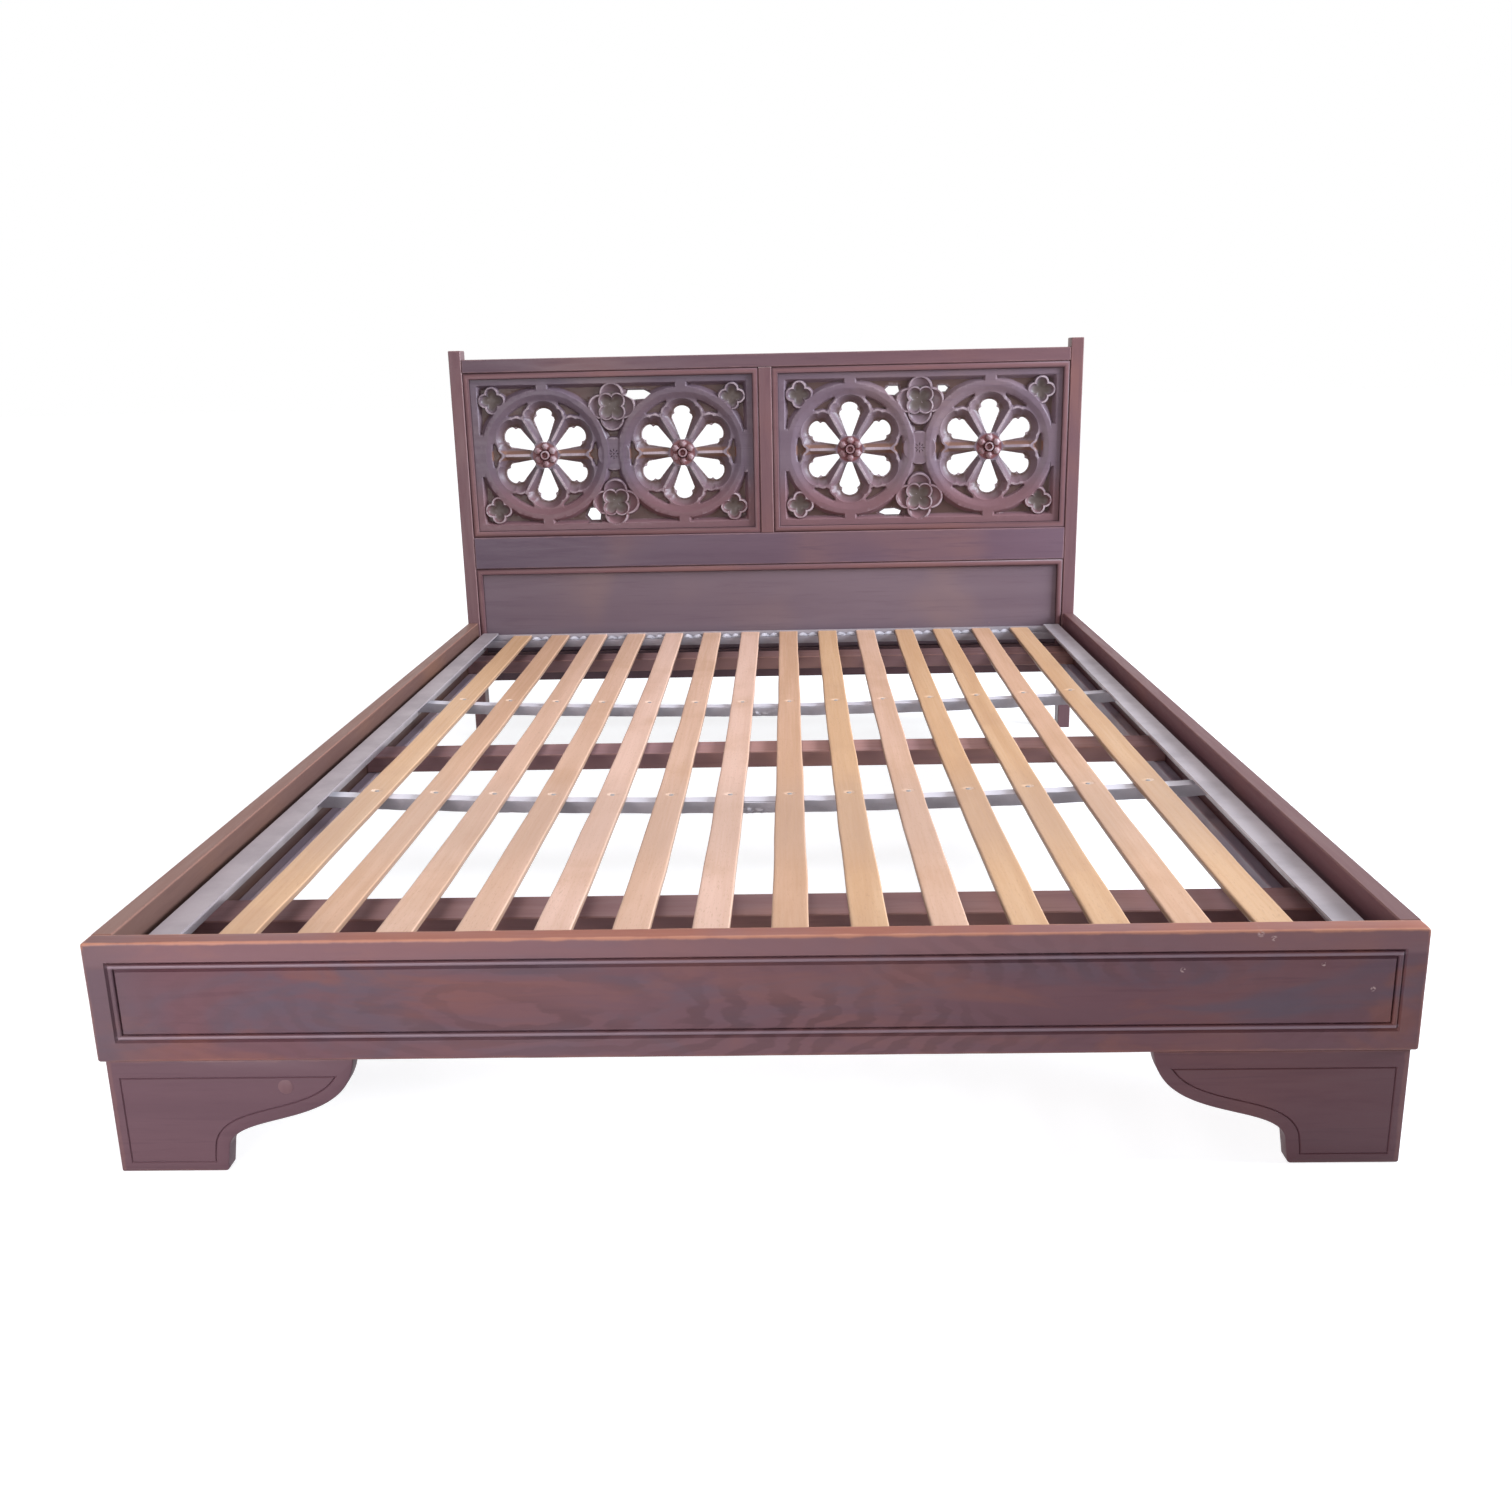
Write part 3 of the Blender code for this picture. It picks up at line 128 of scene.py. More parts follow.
SPANDREL_REACH = 0.030
SPANDREL_TAIL = 0.010
SPANDREL_DEPTH = 0.010
TAB_WIDTH = 0.023
SIDE_TAB_HEIGHT = 0.092
TAB_OVERLAP = 0.005
BOSS_RADIUS = 0.036
BOSS_DEPTH = 0.0012
TICKS = 8
TICK_RADIUS = 0.0085
TICK_LENGTH = 0.0070
TICK_WIDTH = 0.0022
TICK_DEPTH = 0.0026
ROSETTE_RISES = (-0.110, 0.106)
ROSETTE_REACH = 0.053
ROSETTE_LOBE = 0.0265
ROSETTE_BAND = 0.0032
ROSETTE_DEPTH = 0.0085
CUP_REACH = 0.035
CUP_LOBE = 0.0175
CUP_BAND = 0.0024
CUP_DEPTH = 0.0105
CUP_FLOOR = 0.25
CORNER_INSET = 0.034
CORNER_REACH = 0.030
CORNER_LOBE = 0.0155
CORNER_BAND = 0.0030
SLOT_SHAPE = ((0.50, 0.12), (0.22, 0.50), (-0.42, 0.50), (-0.50, -0.10), (-0.20, -0.50), (0.26, -0.42))
SLOT_RUN = 0.75
# Middle, width and height of each open slot
OPEN_SLOTS = {
    "left": ((0.061, 0.1306, 0.058, 0.021), (-0.054, -0.1365, 0.032, 0.029)),
    "right": ((-0.063, 0.128, 0.033, 0.020), (0.053, 0.1300, 0.024, 0.014), (-0.066, -0.1446, 0.051, 0.014)),
}
LOOP_SPACING = 0.0022
LOBE_SPACING = 0.0006
GRID_SPACING = 0.006
MERGE_MILLIMETRES = 0.12
TOOL_MARK = 0.00022

# Foot rail and mouldings
FOOT_ARRIS = 0.0022
FOOT_CORNER = 0.0030
BEAD_CORNER = 0.0004
BEAD_MARGIN = 0.0226
BEAD_WIDTH = 0.0060
GROOVE_WIDTH = 0.0026
GROOVE_DEPTH = 0.0024
EDGE_POINTS = (60, 8, 60, 8)
FOOT_MIDDLE = 0.2
MOULDING_WIDTH = 0.0148
QUIRK_WIDTH = 0.0018
QUIRK_DEPTH = 0.0032
# Places and sizes of the pale nicks in the foot rail's face
NICKS = ((0.538, 0.273, 0.0045), (0.552, 0.268, 0.0040), (0.459, 0.233, 0.0035), (0.606, 0.238, 0.0030),
         (0.660, 0.209, 0.0035))

# Bracket feet
BRACKET_WIDTH = 0.274
BRACKET_STEP = 0.0035
TOE_WIDTH = 0.1215
ANKLE_WIDTH = 0.1250
ANKLE_HEIGHT = 0.028
TOE_CORNER = 0.004
HEEL_CORNER = 0.0025
OGEE_TOP_PULL = (0.05, 0.82)
OGEE_ANKLE_PULL = (0.03, 0.44)
OGEE_POINTS = 40
BRACKET_ARRIS = 0.0014
PLUG_PLACE = (-0.512, 0.1036)
PLUG_RADIUS = 0.0085
LINE_INSET = 0.0150
LINE_SIDE = 0.0135
LINE_TOP = 0.1150
LINE_BOTTOM = 0.0115
LINE_WIDTH = 0.0022
LINE_DEPTH = 0.0014

# Slatted base
SAG = 0.018
SLAT_COUNT = 14
SLAT_EDGE = 0.0022
SLAT_COLUMNS = 14
SLAT_ROWS = 46
SLAT_SWAY = 0.0012
SLAT_SWELL = 0.025
DIMPLE_RADIUS = 0.0105
DIMPLE_DEPTH = 0.0018
RIVET_RADIUS = 0.0038
RIVET_PROFILE = ((1.0, -0.0006), (1.0, 0.0004), (0.8, 0.0010), (0.45, 0.0013), (0.05, 0.0014))
BAR_FLANGE = 0.025
BAR_LEG = 0.018
BAR_THICK = 0.003
BAR_STATIONS = 150
DENT = 0.0016
DARK_BAND_PLACE = -0.45
CLIP_WIDTH = 0.0075
CLIP_THICK = 0.0010
CLIP_GAP = 0.0006
CLIP_STEPS = 14

# Middle tone of each dark wood; its deep and warm tones lie close on both sides. Their purple-blue is partly
# a painted reflection of a bluish sky, and the headboard's tones are painted lighter than the foot rail's
# walnut as painted light
WALNUT = (0.121, 0.055, 0.065)
# The left bracket's tone is painted lighter and bluer than the right one's: painted light from the front left
BRACKETS = {"left": (0.113, 0.058, 0.070), "right": (0.101, 0.043, 0.050)}
PLUG = (0.136, 0.073, 0.084)
HEAD = (0.140, 0.068, 0.074)
LEFT_POST = (0.158, 0.081, 0.085)
MIDDLE = (0.131, 0.075, 0.097)
# The right carved board's tone is painted lighter than the left one's: painted light from the right
CARVED = {"left": (0.119, 0.084, 0.106), "right": (0.158, 0.110, 0.132)}
PANEL = (0.163, 0.110, 0.126)
INNER = (0.125, 0.062, 0.064)
BEARERS = {
    "foot": (0.330, 0.178, 0.168),
    "middle": (0.340, 0.190, 0.185),
    "head": (0.230, 0.125, 0.122),
}
# Pale purple-grey of the ledgers: dust, with painted light that lifts them out of the shade under the steel
# angles
LEDGER_DUST_AND_LIGHT = (0.300, 0.235, 0.275)
RAILS = {"left": (0.113, 0.057, 0.044), "right": (0.130, 0.056, 0.062)}
# Tone painted on each rail's upper face: painted light, with a painted sheen on the paler left one
RAIL_TOP_LIGHT = {"left": (0.210, 0.105, 0.080), "right": (0.128, 0.062, 0.059)}
# Grain, wood and share of painted shade at the left end of each board of the headboard's frame
HEAD_BOARDS = {
    "left_post": ("Z", LEFT_POST, 0.0),
    "right_post": ("Z", HEAD, 0.0),
    "centre_muntin": ("Z", HEAD, 0.0),
    "top_rail": ("X", HEAD, 0.5),
    "middle_rail": ("X", MIDDLE, 0.5),
    "bottom_rail": ("X", HEAD, 0.5),
}
INNER_BOARDS = (("_foot_block", "Z", INNER), ("_corner_block", "Z", INNER), ("_ledger", "Y", LEDGER_DUST_AND_LIGHT))
# Boards with painted shade on their outside, the faces turned to +X
SHADED_OUTSIDE_BOARDS = ("right_post", "right_side_rail", "right_side_bracket")
OUTSIDE_SHADE_SHARE = 0.7

# Tones of wear, dirt and stains on the woods, and of the light, shade, highlights and reflections painted on
# them
LEFT_END_SHADE = (0.062, 0.046, 0.066)
OUTSIDE_SHADE = (0.044, 0.018, 0.019)
WORN = (0.36, 0.17, 0.12)
RUBBED = (0.27, 0.15, 0.14)
# Painted light on the top of the foot rail
SUNLIT_TOP = (0.27, 0.088, 0.052)
LOW_WARM_REFLECTION = (0.165, 0.074, 0.076)
DEEP_FLOOR_SHADE = (0.078, 0.042, 0.033)
CUT_COVE = (0.140, 0.090, 0.100)
RIM_WEAR_AND_HIGHLIGHT = (0.42, 0.33, 0.345)
CREASE_SHADE = (0.043, 0.027, 0.027)
SPOKE_TINT = (0.170, 0.080, 0.048)
HUB_TINT = (0.150, 0.054, 0.056)
CUP_DUST_AND_HIGHLIGHT = (0.125, 0.105, 0.092)
FOOT_RED = (0.165, 0.064, 0.054)
FOOT_COOL = (0.080, 0.061, 0.083)
FOOT_SHEEN = (0.170, 0.095, 0.105)
FOOT_FIGURE = (0.050, 0.022, 0.024)
FOOT_BORDER = (0.24, 0.132, 0.136)
FOOT_BLOOM = (0.088, 0.068, 0.083)
FOOT_BEAD_HIGHLIGHT = (0.27, 0.20, 0.23)
# Painted light on the left end of the foot rail's top
FOOT_TOP_LEFT_LIGHT = (0.19, 0.055, 0.028)
FOOT_WORN = (0.42, 0.19, 0.12)
FOOT_NICK = (0.40, 0.28, 0.26)
MOULDING_CROWN_WEAR_AND_HIGHLIGHT = (0.24, 0.10, 0.085)
QUIRK_SHADE = (0.020, 0.009, 0.010)

# Pale and dark tone of each kind of slat, the kind of each slat, and the marks, painted highlight and painted
# shade on them
SLAT_TONES = (
    ((0.570, 0.342, 0.190), (0.505, 0.285, 0.148)),
    ((0.610, 0.375, 0.262), (0.540, 0.322, 0.212)),
    ((0.665, 0.425, 0.320), (0.600, 0.370, 0.265)),
    ((0.570, 0.335, 0.215), (0.500, 0.285, 0.170)),
)
SLAT_KINDS = (0, 3, 1, 1, 2, 1, 2, 3, 0, 1, 0, 0, 3, 0)
SLAT_FLECK = (0.36, 0.19, 0.10)
SLAT_STAIN = (0.45, 0.25, 0.14)
SLAT_DARK_BAND = (0.40, 0.255, 0.18)
SLAT_EDGE_HIGHLIGHT = (0.88, 0.68, 0.54)
SLAT_SIDE_SHADE = (0.20, 0.11, 0.07)

# Steel
# The right angle's tone is painted lighter than the left one's: painted light against the shade that the
# right rail casts on it
ANGLES = {"left": (0.355, 0.294, 0.300), "right": (0.490, 0.424, 0.437)}
CHANNEL = (0.36, 0.31, 0.33)
BOLT = (0.40, 0.39, 0.38)
BAR = (0.46, 0.42, 0.45)
CLIP = (0.42, 0.39, 0.42)
RIVET = (0.30, 0.28, 0.27)
RUST = (0.16, 0.095, 0.085)
STEEL_TOP_LIGHT = (0.80, 0.75, 0.78)


# Shader nodes


class Nodes:
    """Short ways to add shader nodes to a material or a sky."""

    def __init__(self, owner):
        owner.use_nodes = True
        self.tree = owner.node_tree

    def feed(self, socket, value):
        """Links a socket to another node, or gives it a fixed value."""
        if isinstance(value, bpy.types.NodeSocket):
            self.tree.links.new(value, socket)
        elif socket.type == 'RGBA':
            socket.default_value = (*value, 1.0)
        else:
            socket.default_value = value

    def add(self, kind, inputs=(), output=0, **settings):
        """Adds a node with inputs in their order, or by name, and returns one of its outputs."""
        node = self.tree.nodes.new("ShaderNode" + kind)
        for name, value in settings.items():
            setattr(node, name, value)
        named = inputs if isinstance(inputs, dict) else dict(enumerate(inputs))
        for key, value in named.items():
            self.feed(node.inputs[key], value)
        return node.outputs[output]

    def math(self, operation, *values):
        return self.add("Math", values, operation=operation)

    def shown_rays(self):
        """One for rays from the camera, or seen in a gloss or through glass."""
        total = self.add("LightPath", (), "Is Camera Ray")
        for name in ("Is Glossy Ray", "Is Transmission Ray"):
            total = self.math('MAXIMUM', total, self.add("LightPath", (), name))
        return total

    def show(self, output, unseen, seen):
        """Gives an output one shader for the rays that are shown and another for the rest."""
        shader = self.add("MixShader", (self.shown_rays(), unseen, seen))
        self.feed(self.tree.nodes[output].inputs["Surface"], shader)


class Finish(Nodes):
    """One material, laid tone over tone in the object's own coordinates."""

    def __init__(self, name, colour=WALNUT):
        self.material = bpy.data.materials.new(name)
        super().__init__(self.material)
        self.place = self.add("TexCoord", (), "Object")
        self.colour = colour

    def times(self, first, second):
        return self.math('MULTIPLY', first, second)

    def minus(self, first, second):
        return self.math('SUBTRACT', first, second)

    def stretch(self, scale, shift):
        return self.add("VectorMath", (self.place, scale, shift), operation='MULTIPLY_ADD')

    def noise(self, place, scale, detail=4.0, roughness=0.55, distortion=0.0):
        return self.add("TexNoise", {"Vector": place, "Scale": scale, "Detail": detail,
                                     "Roughness": roughness, "Distortion": distortion}, "Fac")

    def streaks(self, scale, shift, detail=4.0, roughness=0.55, distortion=0.0):
        """Noise drawn out by its own scale along each axis."""
        return self.noise(self.stretch(scale, shift), 1.0, detail, roughness, distortion)

    def fade(self, value, low, high, start=0.0, end=1.0):
        return self.add("MapRange", (value, low, high, start, end), interpolation_type='SMOOTHSTEP')

    def mix(self, share, first, second):
        return self.add("Mix", {0: share, 6: first, 7: second}, 2, data_type='RGBA')

    def lay(self, share, tone):
        """Covers a share of the colour with another tone."""
        self.colour = self.mix(share, self.colour, tone)

    def tint(self, value, low, high, start, end, tone):
        """Covers the colour with a tone whose share goes from start to end between two values."""
        self.lay(self.fade(value, low, high, start, end), tone)

    def axis(self, number):
        return self.add("SeparateXYZ", (self.place,), number)

    def facing(self, number):
        """One coordinate of the direction that the surface faces."""
        return self.add("SeparateXYZ", (self.add("NewGeometry", (), "True Normal"),), number)

    def edge_distance(self, low, high):
        """Distance to the nearest edge of a box: the second least of the distances to its faces."""
        reach = []
        for number in range(3):
            value = self.axis(number)
            below = self.minus(value, low[number])
            reach.append(self.math('MINIMUM', below, self.minus(high[number], value)))
        least = self.math('MINIMUM', reach[0], reach[1])
        most = self.math('MAXIMUM', reach[0], reach[1])
        return self.math('MAXIMUM', least, self.math('MINIMUM', most, reach[2]))

    def ragged(self, edge, scale, detail):
        """A distance to an edge that wavers with the wear."""
        return self.math('MULTIPLY_ADD', self.noise(self.place, scale, detail), -0.006, edge)

    def spot(self, x, z, inner, outer):
        """One inside a round seen from the front, fading to nothing at its outer radius."""
        across = self.minus(self.axis(0), x)
        up = self.minus(self.axis(2), z)
        square = self.math('ADD', self.times(across, across), self.times(up, up))
        return self.fade(self.math('SQRT', square), inner, outer, 1.0, 0.0)

    def bump(self, height, strength, distance, under=None):
        inputs = {"Strength": strength, "Distance": distance, "Height": height}
        if under is not None:
            inputs["Normal"] = under
        return self.add("Bump", inputs)

    def finish(self, pattern, gloss, normal, specular=0.3, metallic=0.0):
        """Sends all to the surface; its roughness lies between two values and follows a pattern."""
        surface = self.tree.nodes["Principled BSDF"].inputs
        self.feed(surface["Base Color"], self.colour)
        self.feed(surface["Roughness"], self.fade(pattern, 0.3, 0.7, *gloss))
        self.feed(surface["Normal"], normal)
        self.feed(surface["Specular IOR Level"], specular)
        self.feed(surface["Metallic"], metallic)
        return self.material


# Camera, light and floor


def show_object(name, data):
    made = bpy.data.objects.new(name, data)
    bpy.context.scene.collection.objects.link(made)
    return made


def make_camera():
    """Camera at the photograph's place: turned by yaw and pitch, then rolled about its own view."""
    forward = Vector((math.sin(CAMERA_YAW) * math.cos(CAMERA_PITCH),
                      math.cos(CAMERA_YAW) * math.cos(CAMERA_PITCH),
                      -math.sin(CAMERA_PITCH)))
    level = Vector((math.cos(CAMERA_YAW), -math.sin(CAMERA_YAW), 0.0))
    above = level.cross(forward)
    right = math.cos(CAMERA_ROLL) * level + math.sin(CAMERA_ROLL) * above
    up = math.cos(CAMERA_ROLL) * above - math.sin(CAMERA_ROLL) * level
    data = bpy.data.cameras.new("camera")
    data.sensor_width = SENSOR_WIDTH
    data.lens = SENSOR_WIDTH * FOCAL_PIXELS / IMAGE_SIZE
    camera = show_object("camera", data)
    placed = Matrix((right, up, -forward)).transposed().to_4x4()
    placed.translation = CAMERA_PLACE
    camera.matrix_world = placed
    bpy.context.scene.camera = camera


def make_sky():
    """Soft sky, brighter above and to the right, that the camera sees as plain white."""
    world = bpy.data.worlds.new("sky")
    bpy.context.scene.world = world
    sky = Nodes(world)
    direction = sky.add("TexCoord", (), "Generated")
    toward = sky.add("VectorMath", (direction, SKY_SIDE), "Value", operation='DOT_PRODUCT')
    level = sky.add("MapRange", (toward, SKY_DARK_SIDE, 1.0, *SKY_RANGE))
    sky.tree.nodes.remove(sky.tree.nodes["Background"])
    sky.show("World Output", sky.add("Background", (SKY_COLOUR, level)), sky.add("Background", (WHITE, 1.0)))


def make_lamps():
    for name, place, aim, size, colour, power in LAMPS:
        data = bpy.data.lights.new(name, 'AREA')
        data.shape = 'DISK'
        data.size = size
        data.color = colour
        data.energy = power
        lamp = show_object(name, data)
        lamp.visible_camera = False
        lamp.location = place
        lamp.rotation_euler = (Vector(aim) - Vector(place)).to_track_quat('-Z', 'Y').to_euler()


def make_floor():
    """White floor that still takes the bed's shadow and grows plain white further off."""
    half = FLOOR_SIZE / 2
    corners = [(-half, -half, 0), (half, -half, 0), (half, half, 0), (-half, half, 0)]
    mesh = bpy.data.meshes.new("floor")
    mesh.from_pydata(corners, [], [(0, 1, 2, 3)])
    floor = show_object("floor", mesh)
    floor.location.z = FLOOR_LEVEL
    material = bpy.data.materials.new("floor")
    cover = Nodes(material)
    cover.tree.nodes.remove(cover.tree.nodes["Principled BSDF"])
    place = cover.add("TexCoord", (), "Object")
    away = cover.add("VectorMath", (place,), "Value", operation='LENGTH')
    level = cover.add("MapRange", (away, *FLOOR_FADE, *FLOOR_GLOW))
    glow = cover.add("Emission", {"Strength": level})
    seen = cover.add("AddShader", (cover.add("BsdfDiffuse", (FLOOR_SEEN,)), glow))
    cover.show("Material Output", cover.add("BsdfDiffuse", (FLOOR_UNSEEN,)), seen)
    mesh.materials.append(material)


# Materials


def tones(middle):
    """Deep, middle and warm tone of a wood."""
    deep = (0.72 * middle[0], 0.66 * middle[1], 0.72 * middle[2])
    warm = (1.30 * middle[0], 1.18 * middle[1], 0.94 * middle[2])
    return deep, middle, warm


def along_grain(grain, along, across):
    """Scale of a pattern on each axis, drawn out along the grain."""
    return tuple(along if axis == grain else across for axis in "XYZ")


def wood_tone(finish, grain, wood, shift, contrast=1.0):
    """Lays the streaked colour of a dark stained board; gives its open pores and its streaks."""
    deep, middle, warm = tones(wood)
    drawn = finish.stretch(along_grain(grain, 1.0, 9.0), shift)
    broad = finish.noise(drawn, 1.3, 3.0, 0.5, 0.6)
    patch = finish.streaks((3.2, 3.2, 3.2), shift, 2.0, 0.5, 0.4)
    streak = finish.noise(drawn, 7.0, 9.0, 0.62, 0.5)
    pores = finish.streaks(along_grain(grain, 6.0, 150.0), shift, 3.0, 0.6)
    finish.colour = deep
    finish.tint(broad, 0.32, 0.66, 0.45, 1.0, middle)
    finish.tint(patch, 0.48, 0.75, 0.0, 0.70 * contrast, warm)
    finish.tint(streak, 0.50, 0.80, 0.0, 0.50 * contrast, deep)
    finish.tint(pores, 0.56, 0.70, 0.0, 0.40, deep)
    return pores, streak


def paint_lit_top(finish, top, tone, share=0.8):
    """Paints light on the upper face of a board, which lies at height top."""
    near = finish.fade(finish.axis(2), top - 0.0018, top - 0.0006)
    finish.lay(finish.times(near, share), tone)


def board_material(name, grain, wood, shift, wear, roughness=0.44, top=None, rubbed_and_lit=WORN,
                   left_shade=0.0, contrast=1.0, node=None):
    """Stained board with worn arrises: its wear follows the edges of the node's own box.

    A board across the bed may take painted shade towards its left end.
    """
    finish = Finish(name + "_wood")
    pores, streak = wood_tone(finish, grain, wood, shift, contrast)
    low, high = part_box(node or name)
    # Painted shade towards the left end
    if left_shade:
        finish.tint(finish.axis(0), low.x, high.x, left_shade, 0.0, LEFT_END_SHADE)
    # Painted shade on the faces turned to +X
    if name in SHADED_OUTSIDE_BOARDS:
        finish.tint(finish.facing(0), 0.4, 0.8, 0.0, OUTSIDE_SHADE_SHARE, OUTSIDE_SHADE)
    # Painted light on the upper face
    if top is not None:
        paint_lit_top(finish, high.z, top)
    edge = finish.ragged(finish.edge_distance(low, high), 45.0, 4.0)
    finish.tint(edge, -0.0022, 0.0004, wear, 0.0, rubbed_and_lit)
    cell = finish.add("TexVoronoi", {"Vector": finish.place, "Scale": 16.0}, "Distance")
    bruised = finish.fade(finish.noise(finish.place, 5.0, 2.0), 0.58, 0.64)
    finish.lay(finish.times(finish.fade(cell, 0.027, 0.045, 0.5, 0.0), bruised), rubbed_and_lit)
    normal = finish.bump(pores, 0.25, 0.0004, finish.bump(streak, 0.25, 0.0010))
    return finish.finish(streak, (roughness - 0.06, roughness + 0.10), normal)


def carved_material(name, wood, shift, place, cups):
    """Carved board about the middle of its face: pale rims, rubbed and painted with highlights, painted shade
    in its creases and deep floors, a painted warm reflection low down, dust and a painted highlight in its
    cups, and redder hubs.
    """
    finish = Finish(name)
    pores, streak = wood_tone(finish, "X", wood, shift, 0.9)
    # Painted warm reflection over the lower part of the board
    finish.tint(finish.axis(2), place[2] - 0.03, place[2] - 0.12, 0.0, 0.72, LOW_WARM_REFLECTION)
    depth = finish.minus(finish.axis(1), place[1])
    finish.tint(depth, 0.003, 0.012, 0.0, 0.5, CUT_COVE)
    level = finish.math('ABSOLUTE', finish.minus(finish.axis(2), place[2]))
    spoke = finish.times(finish.fade(level, 0.008, 0.014, 0.8, 0.0), finish.fade(depth, 0.0040, 0.0046))
    finish.lay(spoke, SPOKE_TINT)
    # Painted shade on the deep floors that face forward
    flat = finish.fade(finish.facing(1), -0.95, -0.80, 1.0, 0.15)
    finish.lay(finish.times(finish.fade(depth, 0.0065, 0.0105, 0.0, 0.9), flat), DEEP_FLOOR_SHADE)
    for side in (-1, 1):
        middle = place[0] + side * WHEEL_SPACING / 2
        finish.lay(finish.spot(middle, place[2], HUB_RADIUS - WALL_RUN, HUB_RADIUS), HUB_TINT)
    # Greenish grey in the cups: dust, with painted highlight on their floors
    for (x, z), reach in cups:
        cup = finish.spot(place[0] + x, place[2] + z, reach - WALL_RUN, reach)
        finish.lay(finish.times(cup, finish.fade(depth, 0.003, 0.009, 0.0, 0.6)), CUP_DUST_AND_HIGHLIGHT)
    # Pale rims on the sharpest edges: rubbing, with painted highlight
    point = finish.add("NewGeometry", (), "Pointiness")
    worn_and_lit = finish.fade(finish.noise(finish.place, 16.0, 3.0), 0.38, 0.62, 0.3, 0.9)
    finish.lay(finish.times(finish.fade(point, 0.515, 0.57), worn_and_lit), RIM_WEAR_AND_HIGHLIGHT)
    # Painted shade in the creases
    finish.tint(point, 0.42, 0.48, 0.5, 0.0, CREASE_SHADE)
    tools = finish.noise(finish.place, 130.0, 3.0, 0.5)
    normal = finish.bump(pores, 0.18, 0.0004, finish.bump(tools, 0.30, 0.0009))
    return finish.finish(streak, (0.30, 0.42), normal, 0.2)


def foot_figure(finish):
    """Swirling figure, red and cool clouds and a painted sheen across the middle of the foot rail's face."""
    turned = {"Vector": finish.stretch((4.2, 1.0, 13.0), (1.05, 0.0, -2.6)), "Scale": 2.3,
              "Distortion": 9.0, "Detail": 4.0}
    rings = finish.add("TexWave", turned, "Fac", wave_type='RINGS', rings_direction='SPHERICAL')
    off = finish.math('ABSOLUTE', finish.axis(0))
    clouds = finish.fade(finish.streaks((2.6, 1.0, 9.0), (5.0, 0.0, 2.0), 3.0), 0.42, 0.62)
    middle = finish.times(finish.fade(rings, 0.30, 0.80), finish.fade(off, 0.15, 0.62, 1.0, 0.25))
    red = finish.streaks((4.5, 1.0, 15.0), (5.0, 0.0, 2.0), 4.0, 0.6, 0.8)
    finish.tint(red, 0.46, 0.64, 0.0, 0.80, FOOT_RED)
    cool = finish.streaks((3.6, 1.0, 12.0), (9.0, 0.0, 7.0), 4.0, 0.6, 0.8)
    finish.tint(cool, 0.48, 0.66, 0.0, 0.75, FOOT_COOL)
    # Painted sheen across the middle of the face
    finish.tint(off, 0.10, 0.45, 0.36, 0.0, FOOT_SHEEN)
    finish.lay(finish.times(finish.times(middle, clouds), 0.38), FOOT_FIGURE)


def foot_material():
    """Foot rail: figured face with a painted sheen, paler border, a painted highlight on the bead, painted
    light on its top with worn edges, and nicks.
    """
    finish = Finish("foot_rail_wood")
    pores, streak = wood_tone(finish, "X", WALNUT, (3.1, 0.0, 1.7), 0.8)
    foot_figure(finish)
    low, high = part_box("foot_rail")
    across = finish.axis(0)
    up = finish.axis(2)
    edge = finish.edge_distance(low, high)
    outside = finish.fade(edge, BEAD_MARGIN, BEAD_MARGIN + 0.002, 1.0, 0.0)
    upper = finish.fade(up, high.z - 0.030, high.z - 0.024, 0.10, 0.44)
    finish.lay(finish.times(outside, upper), FOOT_BORDER)
    finish.tint(across, low.x, low.x + 0.10, 0.55, 0.0, FOOT_BLOOM)
    # Painted highlight along the crowns of the top and bottom beads
    level = finish.math('MINIMUM', finish.minus(up, low.z), finish.minus(high.z, up))
    bead_line = BEAD_MARGIN + GROOVE_WIDTH + BEAD_WIDTH / 2
    off_bead = finish.math('ABSOLUTE', finish.minus(level, bead_line))
    inside = finish.fade(edge, BEAD_MARGIN, BEAD_MARGIN + 0.002)
    finish.lay(finish.times(finish.fade(off_bead, 0.0008, 0.0022, 0.55, 0.0), inside), FOOT_BEAD_HIGHLIGHT)
    patchy = finish.streaks((4.5, 1.0, 1.0), (2.0, 0.0, 0.0), 3.0)
    # Painted light on the top face, darker and redder towards the left end, in patches
    tone = finish.mix(finish.fade(across, -0.70, -0.30), FOOT_TOP_LEFT_LIGHT, SUNLIT_TOP)
    paint_lit_top(finish, high.z, tone, finish.fade(patchy, 0.38, 0.62, 0.4, 0.9))
    worn = finish.fade(finish.ragged(edge, 30.0, 5.0), -0.0022, 0.0010, 1.0, 0.0)
    near_top = finish.fade(up, high.z - 0.010, high.z - 0.004, 0.2, 0.85)
    finish.lay(finish.times(worn, near_top), FOOT_WORN)
    torn = finish.fade(finish.streaks((260.0, 260.0, 520.0), (0.0, 0.0, 0.0), 2.0), 0.46, 0.56)
    for x, z, size in NICKS:
        finish.lay(finish.times(finish.spot(x, z, 0.4 * size, size), torn), FOOT_NICK)
    normal = finish.bump(pores, 0.22, 0.0004, finish.bump(streak, 0.22, 0.0010))
    return finish.finish(streak, (0.36, 0.52), normal, 0.25)


